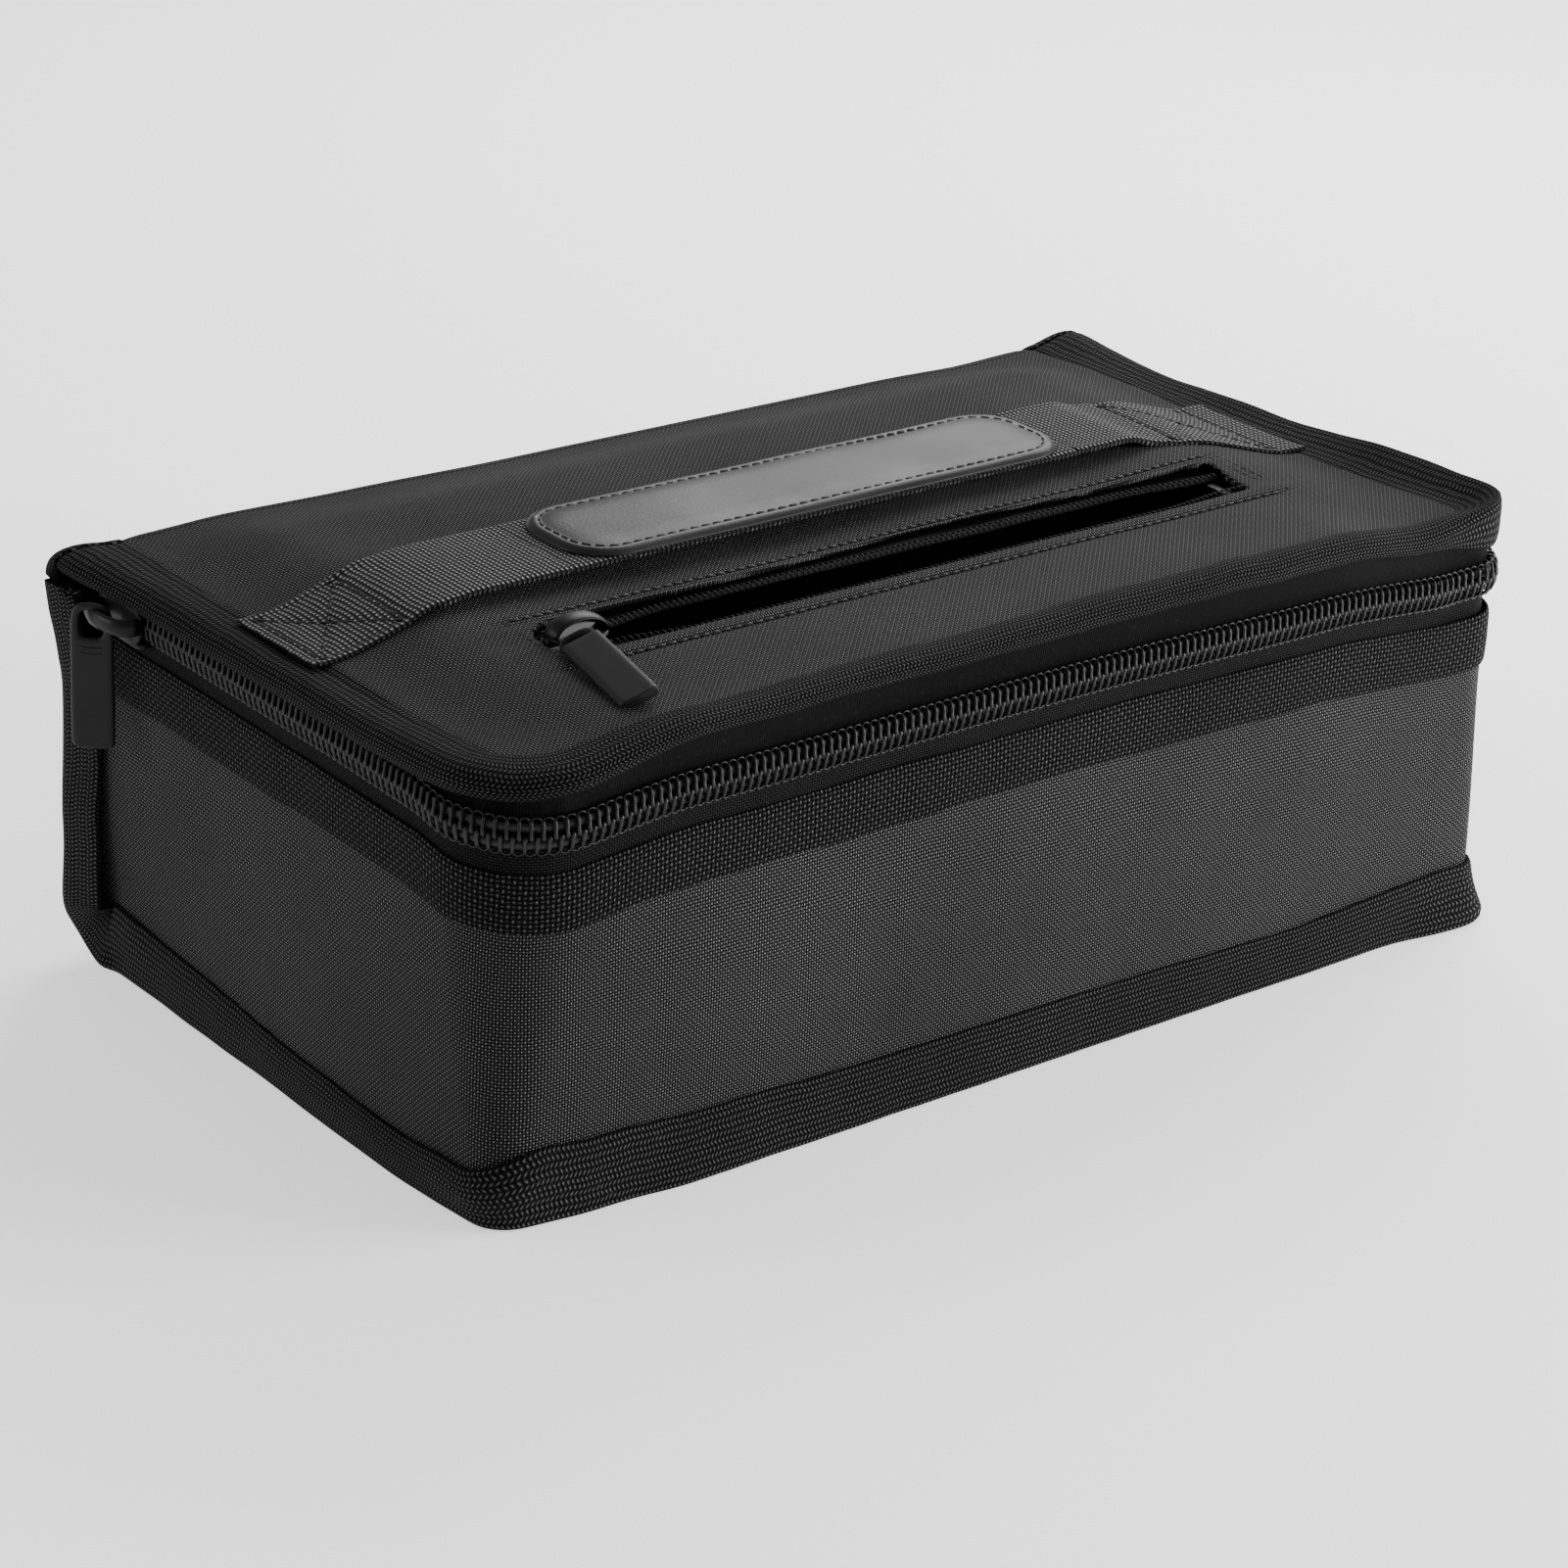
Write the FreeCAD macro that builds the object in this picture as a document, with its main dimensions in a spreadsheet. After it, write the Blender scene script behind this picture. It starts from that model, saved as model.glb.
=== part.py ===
import FreeCAD, Part
import math
import os
import Sketcher

# Padded battery case with a zipped lid, a carry strap and a zipped pocket in the lid.
# Millimetres. +X runs along the case, +Y to the hinge side at the rear, +Z up.
# The origin is the middle of the face that the case stands on.

SIZES = [
    # the case as a whole
    ("case_length", 280, "outside of one end wall to outside of the other"),
    ("case_depth", 160, "outside of the front wall to outside of the back"),
    ("case_height", 97.7, "ground to the top of the lid's fabric at its edge"),
    ("corner_radius", 20, "upright front corners, outside"),
    ("bend_radius", 16, "bend from the back down into the base, outside"),
    # plies of the padded panels
    ("fabric", 1.2, "outer fabric"),
    ("padding", 4, "foam"),
    ("lining", 0.8, "fire-resistant lining"),
    ("ply_gap", 0.05, "between two plies or two sewn pieces"),
    ("wall_fabric_drop", 16, "top of the wall's outer fabric, below the zip's centre line"),
    ("wall_padding_drop", 9, "top of the wall's foam and lining, below the zip's centre line"),
    # twill tapes
    ("band_drop", 8.5, "top of the twill band, below the zip's centre line"),
    ("band_width", 13.5, "twill band"),
    ("band_thick", 0.9, "twill band"),
    ("base_binding_width", 15, "bound flange round the base"),
    ("binding_width", 13.5, "bound flange up the rear edges"),
    ("binding_seam_thick", 1.4, "bound flange at its seam"),
    ("binding_edge_in", 1.2, "inner side of the flange's free edge, out from the wall"),
    ("binding_edge_out", 3.2, "outer side of the flange's free edge, out from the wall"),
    ("binding_foot", 0.5, "bound flange's free edge, in from the base and from the back"),
    ("rear_binding_drop", 6.7, "top of the bound rear edges, below the lid's edge"),
    # main zip
    ("chain_drop", 11.7, "centre line of the closed zip, below the lid's edge"),
    ("coil_width", 2.9, "one coil, across the chain"),
    ("coil_parting", 1.0, "parting line between the two coils"),
    ("coil_thick", 2.4, "coil, out from the tape"),
    ("tape_thick", 0.8, "zip tape"),
    ("tape_inset", 1.5, "tape edge back from the chain's centre line"),
    ("stop_length", 2.4, "zip stop, along the chain"),
    # lid
    ("fold_radius", 4, "outer fabric where it folds from back to lid"),
    ("fold_flat", 1, "straight stretch at each end of that fold"),
    ("lid_reach", 2.5, "lid fabric's edge, out past the wall"),
    ("lid_edge_reach", 4.0, "lid binding, out past the wall"),
    ("lid_edge_cover", 10, "lid binding, in over the lid"),
    ("lid_binding_thick", 1.0, "lid binding tape"),
    ("lid_edge_depth", 3.2, "underside of the lid binding, below the lid's edge"),
    ("lid_return", 0.3, "inner edge of the binding's lower leg, out past the wall"),
    ("lid_edge_rounding", 0.9, "outer edges of the lid binding"),
    ("crown_inset", 24, "from the wall to the flat middle of the lid"),
    ("crown_rise", 3.5, "flat middle of the lid, above its edge"),
    ("dome_corner", 10, "front corners of the lid's raised middle"),
    ("lid_padding_depth", 8.3, "lid's foam"),
    ("lid_gap", 0.9, "lid padding forward of the back's lining"),
    # pocket in the lid
    ("slot_left_margin", 51.5, "opening of the pocket, from the left end wall"),
    ("slot_right_margin", 42.5, "opening of the pocket, from the right end wall"),
    ("slot_setback", 49, "middle of the opening, behind the front wall"),
    ("slot_width", 12, "opening of the pocket"),
    ("slot_corner", 4, "corners of the opening"),
    ("seam_right", 14, "stitching round the opening, past its right end"),
    ("pouch_inset", 28, "from the wall to the pouch"),
    ("pouch_ply", 0.8, "pouch cloth"),
    ("pouch_bed", 4.35, "lid's foam left under the pouch"),
    ("pocket_tape", 0.6, "pocket zip tape"),
    ("pocket_tape_width", 9.8, "pocket zip tape, each side"),
    ("pocket_tape_end", 6, "pocket zip tape past each end of the opening"),
    ("pocket_coil_gap", 5.6, "between the two open pocket coils"),
    ("pocket_coil_width", 2.2, "one pocket coil"),
    ("pocket_coil_thick", 1.2, "one pocket coil"),
    # sliders and pullers
    ("run_gap", 0.3, "clearance of a sliding or swinging piece"),
    ("slider_length", 17, "slider body"),
    ("slider_width", 8.8, "slider body at its mouth"),
    ("slider_nose", 6.4, "slider body at its nose"),
    ("slider_plate", 1.2, "slider plates"),
    ("slider_web", 5, "divider between the plates, along the chain"),
    ("bridge_length", 13, "bridge on the slider, outside"),
    ("main_bridge_clear", 4, "under the main slider's bridge"),
    ("pocket_bridge_clear", 2.6, "under the pocket slider's bridge"),
    ("bridge_bar", 1.8, "bridge, across and at its legs"),
    ("bridge_thick", 1, "bridge, top bar"),
    ("main_slider_back", 26, "middle of the main slider, forward of the back"),
    ("pocket_slider_in", 6, "middle of the pocket slider, in from the opening's left end"),
    ("main_puller_length", 32, "main puller, pivot to free end"),
    ("pocket_puller_length", 35, "pocket puller, pivot to free end"),
    ("puller_width", 10.5, "puller"),
    ("puller_thick", 2, "puller"),
    ("puller_head", 1.9, "metal round the eye, beyond the eye's end"),
    ("eye_width", 6.1, "eye of the puller"),
    ("eye_length", 6.4, "eye of the puller"),
    ("eye_rise", 1.5, "end of the eye beyond the pivot"),
    ("main_puller_turn", 45, "turn of the hanging puller about the upright"),
    ("pocket_puller_turn", 21, "turn of the lying puller towards the left"),
    # carry strap
    ("strap_width", 30, "webbing"),
    ("strap_thick", 1.6, "webbing"),
    ("strap_centre_y", 7, "middle of the strap"),
    ("strap_rise", 2, "strap above the lid at rest"),
    ("strap_centre_length", 144, "level stretch of the strap"),
    ("anchor_length", 23, "sewn end of the strap"),
    ("anchor_margin", 1, "sewn end in from the lid binding"),
    ("grip_length", 136, "leather grip"),
    ("grip_width", 31, "leather grip"),
    ("grip_thick", 2, "leather grip"),
    ("grip_corner", 12, "leather grip"),
    ("stitch_inset", 3, "stitch line in from an edge"),
    ("stitch_width", 0.7, "thread"),
    ("stitch_proud", 0.3, "thread above the cloth"),
]


class Size:
    """A length: its value now, and the formula on the sheet that keeps it so."""

    def __init__(self, value, formula):
        self.value = float(value)
        self.formula = formula

    def __add__(self, other):
        other = as_size(other)
        return Size(self.value + other.value, f"({self.formula} + {other.formula})")

    def __sub__(self, other):
        other = as_size(other)
        return Size(self.value - other.value, f"({self.formula} - {other.formula})")

    def __mul__(self, factor):
        return Size(self.value * factor, f"({self.formula} * {factor})")

    def __truediv__(self, divisor):
        return Size(self.value / divisor, f"({self.formula} / {divisor})")

    def __neg__(self):
        return Size(-self.value, f"(0 - {self.formula})")


def as_size(number):
    return number if isinstance(number, Size) else Size(number, f"{number}")


def bind(thing, name, size):
    thing.setExpression(name, as_size(size).formula)


doc = FreeCAD.newDocument("padded_case")
sheet = doc.addObject("Spreadsheet::Sheet", "sizes")
for row, (alias, number, note) in enumerate(SIZES, start=1):
    sheet.set(f"A{row}", alias)
    sheet.set(f"B{row}", f"{number}")
    sheet.setAlias(f"B{row}", alias)
    sheet.set(f"C{row}", note)
doc.recompute()
S = {alias: Size(sheet.get(alias), f"sizes.{alias}") for alias, _, _ in SIZES}
ZERO = as_size(0)
pieces = []


# ---- drawing helpers -------------------------------------------------------------------------

def keep(thing, label):
    thing.Label = label
    pieces.append(thing)
    return thing


def new_body(label):
    return keep(doc.addObject("PartDesign::Body", label), label)


def new_sketch(body, role, level):
    """A sketch on one of the body's own planes, shifted along that plane's normal."""
    sketch = body.newObject("Sketcher::SketchObject", f"{body.Name}_sketch")
    plane = [item for item in body.Origin.OriginFeatures if item.Role == role][0]
    sketch.AttachmentSupport = [(plane, "")]
    sketch.MapMode = "FlatFace"
    bind(sketch, "AttachmentOffset.Base.z", level)
    return sketch


def constrain(sketch, *parts, size=None):
    """One constraint, with its value bound to the sheet where it has one."""
    if size is None:
        sketch.addConstraint(Sketcher.Constraint(*parts))
        return
    index = sketch.addConstraint(Sketcher.Constraint(*parts, size.value))
    bind(sketch, f"Constraints[{index}]", size)


def draw_loop(sketch, corners):
    """A closed outline. Each corner is (x, y), or (x, y, radius) where it is a rounded right angle."""
    ends = []
    count = len(corners)
    for index, corner in enumerate(corners):
        x, y = as_size(corner[0]), as_size(corner[1])
        if len(corner) == 2:
            ends.append(((x, y), (x, y), None))
            continue
        radius = as_size(corner[2])
        before, after = corners[index - 1], corners[(index + 1) % count]
        middle_x = as_size(before[0]).value + as_size(after[0]).value
        middle_y = as_size(before[1]).value + as_size(after[1]).value
        side_x = 1 if x.value * 2 > middle_x else -1
        side_y = 1 if y.value * 2 > middle_y else -1
        hub = (x - radius * side_x, y - radius * side_y)
        along_x = abs(as_size(before[1]).value - y.value) < 1e-6
        on_flat, on_upright = (hub[0], y), (x, hub[1])
        pair = (on_flat, on_upright) if along_x else (on_upright, on_flat)
        ends.append((pair[0], pair[1], (hub, radius, side_x, side_y)))

    arcs = []
    for first, last, rounding in ends:
        if rounding is None:
            arcs.append(None)
            continue
        hub, radius, side_x, side_y = rounding
        centre = FreeCAD.Vector(hub[0].value, hub[1].value, 0)
        quarter = {(1, 1): 0, (-1, 1): 1, (-1, -1): 2, (1, -1): 3}[(side_x, side_y)] * math.pi / 2
        circle = Part.Circle(centre, FreeCAD.Vector(0, 0, 1), radius.value)
        arc = sketch.addGeometry(Part.ArcOfCircle(circle, quarter, quarter + math.pi / 2))
        constrain(sketch, "DistanceX", -1, 1, arc, 3, size=hub[0])
        constrain(sketch, "DistanceY", -1, 1, arc, 3, size=hub[1])
        constrain(sketch, "Radius", arc, size=radius)
        starts_flat = quarter in (math.pi / 2, 3 * math.pi / 2)
        constrain(sketch, "Vertical" if starts_flat else "Horizontal", arc, 1, arc, 3)
        constrain(sketch, "Horizontal" if starts_flat else "Vertical", arc, 2, arc, 3)
        start = centre + FreeCAD.Vector(math.cos(quarter), math.sin(quarter), 0) * radius.value
        enters_at_start = start.distanceToPoint(FreeCAD.Vector(first[0].value, first[1].value, 0)) < 1e-6
        arcs.append((arc, 1, 2) if enters_at_start else (arc, 2, 1))

    lines = []
    for index in range(count):
        leave = ends[index][1]
        reach = ends[(index + 1) % count][0]
        start = FreeCAD.Vector(leave[0].value, leave[1].value, 0)
        end = FreeCAD.Vector(reach[0].value, reach[1].value, 0)
        lines.append(sketch.addGeometry(Part.LineSegment(start, end)))
    for index in range(count):
        before, after = lines[index - 1], lines[index]
        if arcs[index] is None:
            constrain(sketch, "Coincident", before, 2, after, 1)
            constrain(sketch, "DistanceX", -1, 1, after, 1, size=ends[index][0][0])
            constrain(sketch, "DistanceY", -1, 1, after, 1, size=ends[index][0][1])
        else:
            arc, enter, leave = arcs[index]
            constrain(sketch, "Coincident", before, 2, arc, enter)
            constrain(sketch, "Coincident", after, 1, arc, leave)


def add_feature(body, kind, sketch, length=None, middle=False, back=False):
    feature = body.newObject(f"PartDesign::{kind}", f"{body.Name}_{kind.lower()}")
    feature.Profile = sketch
    if length is not None:
        bind(feature, "Length", length)
        feature.Midplane = middle
        feature.Reversed = back
    body.Tip = feature
    return feature


def add_slab(body, loops, low, high):
    """Material between two levels, of the outline that the loops enclose from above."""
    sketch = new_sketch(body, "XY_Plane", low)
    for loop in loops:
        draw_loop(sketch, loop)
    return add_feature(body, "Pad", sketch, high - low)


def cut_slab(body, loops, low, high):
    """A pocket that goes down from the upper level to the lower one."""
    sketch = new_sketch(body, "XY_Plane", high)
    for loop in loops:
        draw_loop(sketch, loop)
    return add_feature(body, "Pocket", sketch, high - low)


def add_loft(body, kind, lower, low, upper, high):
    first = new_sketch(body, "XY_Plane", low)
    draw_loop(first, lower)
    second = new_sketch(body, "XY_Plane", high)
    draw_loop(second, upper)
    loft = add_feature(body, kind, first)
    loft.Sections = [second]
    loft.Ruled = True
    return loft


def add_across(body, loop, half_width, centre=ZERO):
    """Material of an outline seen from the end, (y, z), as wide as the case is long."""
    sketch = new_sketch(body, "YZ_Plane", centre)
    draw_loop(sketch, loop)
    return add_feature(body, "Pad", sketch, half_width * 2, middle=True)


def add_along(body, loop, width, centre_y):
    """Material of an outline seen from the front, (x, z), with a width along Y."""
    sketch = new_sketch(body, "XZ_Plane", -centre_y)
    draw_loop(sketch, loop)
    return add_feature(body, "Pad", sketch, width, middle=True)


def edges_where(shape, test):
    return [f"Edge{number}" for number, edge in enumerate(shape.Edges, start=1) if test(edge)]


def round_edges(body, test, radius, kind="Fillet"):
    doc.recompute()
    base = body.Tip
    names = edges_where(base.Shape, test)
    feature = body.newObject(f"PartDesign::{kind}", f"{body.Name}_{kind.lower()}")
    feature.Base = (base, names)
    bind(feature, "Radius" if kind == "Fillet" else "Size", radius)
    body.Tip = feature
    return feature


def is_upright_at(edge, y):
    low, high = edge.BoundBox.ZMin, edge.BoundBox.ZMax
    return edge.BoundBox.YLength < 1e-4 and high - low > 0.1 and abs(edge.BoundBox.YMin - y) < 1e-3


def block(label, low_x, high_x, low_y, high_y, low_z, high_z):
    box = keep(doc.addObject("Part::Box", label), label)
    spans = (("Length", low_x, high_x), ("Width", low_y, high_y), ("Height", low_z, high_z))
    for name, low, high in spans:
        bind(box, name, as_size(high) - low)
    for axis, low in (("x", low_x), ("y", low_y), ("z", low_z)):
        bind(box, f"Placement.Base.{axis}", low)
    return box


# ---- places worked out from the sheet --------------------------------------------------------

half_length = S["case_length"] / 2
half_depth = S["case_depth"] / 2
lid_level = S["case_height"]
chain_level = lid_level - S["chain_drop"]
crown_level = lid_level + S["crown_rise"]
padding_face = S["fabric"] + S["ply_gap"]
padding_back = padding_face + S["padding"]
lining_face = padding_back + S["ply_gap"]
lining_back = lining_face + S["lining"]
inside_face = lining_back + S["ply_gap"]
wall_fabric_top = chain_level - S["wall_fabric_drop"]
wall_padding_top = chain_level - S["wall_padding_drop"]
band_top = chain_level - S["band_drop"]
rear_binding_top = lid_level - S["rear_binding_drop"]
lid_edge_low = lid_level - S["lid_edge_depth"]
back_top = lid_level - S["fold_radius"] - S["fold_flat"]
fold_start = half_depth - S["fold_radius"] - S["fold_flat"]
rear_edge = half_depth - S["binding_foot"]
rear_seam = rear_edge - S["binding_width"]
coil_rear = rear_seam - S["stop_length"] - S["ply_gap"] * 2
coil_low = chain_level - S["coil_parting"] / 2 - S["coil_width"]
coil_high = chain_level + S["coil_parting"] / 2 + S["coil_width"]
lower_coil_top = chain_level - S["coil_parting"] / 2
upper_coil_low = chain_level + S["coil_parting"] / 2
coil_outside = S["ply_gap"] + S["coil_thick"]
lid_under = lid_level - S["fabric"]
lid_rear = fold_start - S["ply_gap"]
padding_rear = half_depth - lining_back - S["lid_gap"]
lid_padding_top = lid_under - S["ply_gap"]
lid_padding_low = lid_padding_top - S["lid_padding_depth"]
pouch_low = lid_padding_low + S["pouch_bed"] + S["ply_gap"]
lid_inset = S["tape_thick"] + S["run_gap"] + S["slider_plate"] + S["run_gap"] * 2
slot_left = S["slot_left_margin"] - half_length
slot_right = half_length - S["slot_right_margin"]
slot_centre_y = S["slot_setback"] - half_depth
crown_under = crown_level - S["fabric"]
pouch_top = crown_under - S["ply_gap"]


def u_loop(outer, inner, rear):
    """A strip that follows the end walls and the front, seen from above, open at the rear."""
    corners = []
    for offset, order in ((outer, (-1, 1)), (inner, (1, -1))):
        radius = S["corner_radius"] + offset
        front = -(half_depth + offset)
        side = half_length + offset
        corners.append((side * order[0], rear))
        corners.append((side * order[0], front, radius))
        corners.append((side * order[1], front, radius))
        corners.append((side * order[1], rear))
    return corners


def plan_loop(offset, rear, radius=None):
    """The whole outline of a panel seen from above, with rounded front corners."""
    rounding = S["corner_radius"] + offset if radius is None else radius
    side = half_length + offset
    front = -(half_depth + offset)
    return [(-side, rear), (-side, front, rounding), (side, front, rounding), (side, rear)]


def inset_loop(inset, radius):
    """An outline the same distance in from all four sides of the case."""
    return plan_loop(-inset, half_depth - inset, radius)


def rectangle(low_x, high_x, low_y, high_y, radius=None):
    corners = [(low_x, low_y), (high_x, low_y), (high_x, high_y), (low_x, high_y)]
    return corners if radius is None else [(x, y, radius) for x, y in corners]


# ---- case: walls, back and base --------------------------------------------------------------

def wall_ply(label, face, back, low, high):
    """One ply of the end walls and the front, rounded at its rear foot where the back bends."""
    body = new_body(label)
    rear = half_depth - padding_face
    add_slab(body, [u_loop(-face, -back, rear)], low, high)

    def at_foot(edge):
        box = edge.BoundBox
        low_rear = abs(box.ZMax - low.value) < 1e-3 and abs(box.YMin - rear.value) < 1e-3
        return low_rear and box.YLength < 1e-4
    round_edges(body, at_foot, S["bend_radius"] - padding_face)


def back_and_base_ply(label, face, back, half_width, front):
    """One ply of the sheet that is the base, bends up at the rear and is the back."""
    body = new_body(label)
    radius_out = S["bend_radius"] - face
    radius_in = S["bend_radius"] - back
    loop = [
        (front, face), (half_depth - face, face, radius_out), (half_depth - face, back_top),
        (half_depth - back, back_top), (half_depth - back, back, radius_in), (front, back),
    ]
    add_across(body, loop, half_width)
    rounding = S["corner_radius"] - (front + half_depth)
    round_edges(body, lambda edge: is_upright_at(edge, front.value), rounding)


wall_ply("wall_fabric", ZERO, S["fabric"], padding_face, wall_fabric_top)
wall_ply("wall_padding", padding_face, padding_back, padding_face, wall_padding_top)
wall_ply("wall_lining", lining_face, lining_back, padding_face, wall_padding_top)
back_and_base_ply("back_base_fabric", ZERO, S["fabric"], half_length, -half_depth)
back_and_base_ply("back_base_padding", padding_face, padding_back, half_length - inside_face,
                  inside_face - half_depth)
back_and_base_ply("back_base_lining", lining_face, lining_back, half_length - inside_face,
                  inside_face - half_depth)

wall_band = new_body("wall_band")
band_out = S["ply_gap"] + S["band_thick"]
add_slab(wall_band, [u_loop(band_out, S["ply_gap"], rear_seam - S["ply_gap"])], band_top - S["band_width"], band_top)


# ---- case: bound edges -----------------------------------------------------------------------

bend_start = half_depth - S["bend_radius"]
seam_in = S["ply_gap"] * 2
seam_out = seam_in + S["binding_seam_thick"]

base_binding = new_body("base_binding")
add_loft(
    base_binding, "AdditiveLoft",
    u_loop(S["binding_edge_out"], S["binding_edge_in"], bend_start - S["ply_gap"]), S["binding_foot"],
    u_loop(seam_out, seam_in, bend_start - S["ply_gap"]), S["binding_foot"] + S["base_binding_width"])


def rear_binding(label, side):
    """The bound flange up one rear edge, with its quarter bend down to the base."""
    body = new_body(label)
    sketch = new_sketch(body, "XY_Plane", S["bend_radius"])
    draw_loop(sketch, [
        ((half_length + seam_in) * side, rear_seam), ((half_length + seam_out) * side, rear_seam),
        ((half_length + S["binding_edge_out"]) * side, rear_edge),
        ((half_length + S["binding_edge_in"]) * side, rear_edge),
    ])
    axis = sketch.addGeometry(Part.LineSegment(FreeCAD.Vector(-10, bend_start.value, 0),
                                               FreeCAD.Vector(10, bend_start.value, 0)), True)
    constrain(sketch, "Horizontal", axis)
    constrain(sketch, "DistanceY", -1, 1, axis, 1, size=bend_start)
    constrain(sketch, "DistanceX", -1, 1, axis, 1, size=as_size(-10))
    constrain(sketch, "DistanceX", -1, 1, axis, 2, size=as_size(10))
    add_feature(body, "Pad", sketch, rear_binding_top - S["bend_radius"])
    bend = body.newObject("PartDesign::Revolution", f"{label}_bend")
    bend.Profile = sketch
    bend.ReferenceAxis = (sketch, ["Axis0"])
    bend.Angle = 90
    bend.Reversed = True
    body.Tip = bend


rear_binding("rear_binding_left", -1)
rear_binding("rear_binding_right", 1)


# ---- main zip --------------------------------------------------------------------------------

def u_piece(label, outer, inner, rear, low, high):
    add_slab(new_body(label), [u_loop(outer, inner, rear)], low, high)


tape_rear = half_depth - padding_face - S["ply_gap"]
u_piece("zip_tape_lower", ZERO, -S["tape_thick"], tape_rear,
        wall_fabric_top + S["ply_gap"], chain_level - S["tape_inset"])
u_piece("zip_tape_upper", ZERO, -S["tape_thick"], lid_rear,
        chain_level + S["tape_inset"], lid_under - S["ply_gap"])
u_piece("zip_coil_lower", coil_outside, S["ply_gap"], coil_rear, coil_low, lower_coil_top)
u_piece("zip_coil_upper", coil_outside, S["ply_gap"], coil_rear, upper_coil_low, coil_high)

stop_front = coil_rear + S["ply_gap"]
stop_rear = stop_front + S["stop_length"]
block("top_stop_lower", -half_length - coil_outside, -half_length - S["ply_gap"],
      stop_front, stop_rear, coil_low, lower_coil_top)
block("top_stop_upper", -half_length - coil_outside, -half_length - S["ply_gap"],
      stop_front, stop_rear, upper_coil_low, coil_high)
block("bottom_stop", half_length + S["ply_gap"], half_length + coil_outside,
      stop_front, stop_rear, coil_low, coil_high)


# ---- hinge folds -----------------------------------------------------------------------------

hinge_fold = new_body("hinge_fold")
add_across(hinge_fold, [
    (fold_start, lid_level), (half_depth, lid_level, S["fold_radius"]),
    (half_depth, back_top + S["ply_gap"]), (half_depth - S["fabric"], back_top + S["ply_gap"]),
    (half_depth - S["fabric"], lid_under, S["fold_radius"] - S["fabric"]), (fold_start, lid_under),
], half_length)


def binding_fold(label, side):
    """The length of binding that turns from the lid's end edge down into the rear edge."""
    body = new_body(label)
    low = rear_binding_top + S["ply_gap"]
    high = lid_edge_low - S["ply_gap"]
    top = lid_level + S["lid_binding_thick"]
    width = S["lid_edge_reach"] - seam_in
    centre = (half_length + seam_in + width / 2) * side
    add_across(body, [
        (rear_seam, low), (half_depth, low), (half_depth, back_top),
        (fold_start + S["fold_radius"] / 2, lid_level - S["ply_gap"]),
        (fold_start, top), (fold_start, high), (rear_seam, high),
    ], width / 2, centre)


binding_fold("binding_fold_left", -1)
binding_fold("binding_fold_right", 1)


# ---- lid -------------------------------------------------------------------------------------

lid_fabric = new_body("lid_fabric")
add_slab(lid_fabric, [plan_loop(S["lid_reach"], lid_rear)], lid_under, lid_level)
dome_foot = inset_loop(S["lid_edge_cover"] + S["ply_gap"], S["dome_corner"])
dome_crown = inset_loop(S["crown_inset"], S["dome_corner"])
add_loft(lid_fabric, "AdditiveLoft", dome_foot, lid_level, dome_crown, crown_level)
add_loft(lid_fabric, "SubtractiveLoft", dome_foot, lid_under, dome_crown, crown_under)
slot_low_y = slot_centre_y - S["slot_width"] / 2
slot_high_y = slot_centre_y + S["slot_width"] / 2
cut_slab(lid_fabric, [rectangle(slot_left, slot_right, slot_low_y, slot_high_y, S["slot_corner"])],
         lid_under, crown_level + S["fabric"])

pouch_half_length = half_length - S["pouch_inset"]
pouch_half_depth = half_depth - S["pouch_inset"]


def pouch_loop(grow):
    side = pouch_half_length + grow
    end = pouch_half_depth + grow
    return rectangle(-side, side, -end, end)


lid_padding = new_body("lid_padding")
padding_outline = plan_loop(-lid_inset, padding_rear)
add_slab(lid_padding, [padding_outline], lid_padding_low, lid_padding_top)
cut_slab(lid_padding, [pouch_loop(S["ply_gap"])], pouch_low - S["ply_gap"], lid_padding_top)

lid_lining = new_body("lid_lining")
lid_lining_top = lid_padding_low - S["ply_gap"]
add_slab(lid_lining, [padding_outline], lid_lining_top - S["lining"], lid_lining_top)

lid_binding = new_body("lid_binding")
flange_low = lid_level + S["ply_gap"]
flange_top = flange_low + S["lid_binding_thick"]
web_inner = S["lid_edge_reach"] - S["lid_binding_thick"]
leg_top = lid_edge_low + S["lid_binding_thick"]
add_slab(lid_binding, [u_loop(S["lid_edge_reach"], -S["lid_edge_cover"], lid_rear)],
         flange_low, flange_top)
add_slab(lid_binding, [u_loop(S["lid_edge_reach"], web_inner, lid_rear)], leg_top, flange_low)
add_slab(lid_binding, [u_loop(S["lid_edge_reach"], S["lid_return"], lid_rear)],
         lid_edge_low, leg_top)


def on_lid_rim(edge):
    box = edge.BoundBox
    level = box.ZLength < 1e-4 and min(abs(box.ZMin - flange_top.value),
                                       abs(box.ZMin - lid_edge_low.value)) < 1e-3
    if not level or box.YMax > lid_rear.value + 1e-3:
        return False
    reach = half_length.value + S["lid_edge_reach"].value
    front = half_depth.value + S["lid_edge_reach"].value
    hub_x = half_length.value - S["corner_radius"].value
    hub_y = S["corner_radius"].value - half_depth.value
    middle = edge.valueAt((edge.FirstParameter + edge.LastParameter) / 2)
    on_side = abs(abs(middle.x) - reach) < 1e-3
    on_front = abs(middle.y + front) < 1e-3
    radius = math.hypot(abs(middle.x) - hub_x, middle.y - hub_y)
    in_corner = abs(middle.x) > hub_x and middle.y < hub_y
    on_corner = in_corner and abs(radius - S["corner_radius"].value - S["lid_edge_reach"].value) < 1e-3
    return on_side or on_front or on_corner


round_edges(lid_binding, on_lid_rim, S["lid_edge_rounding"])


# ---- pocket in the lid -----------------------------------------------------------------------

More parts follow.
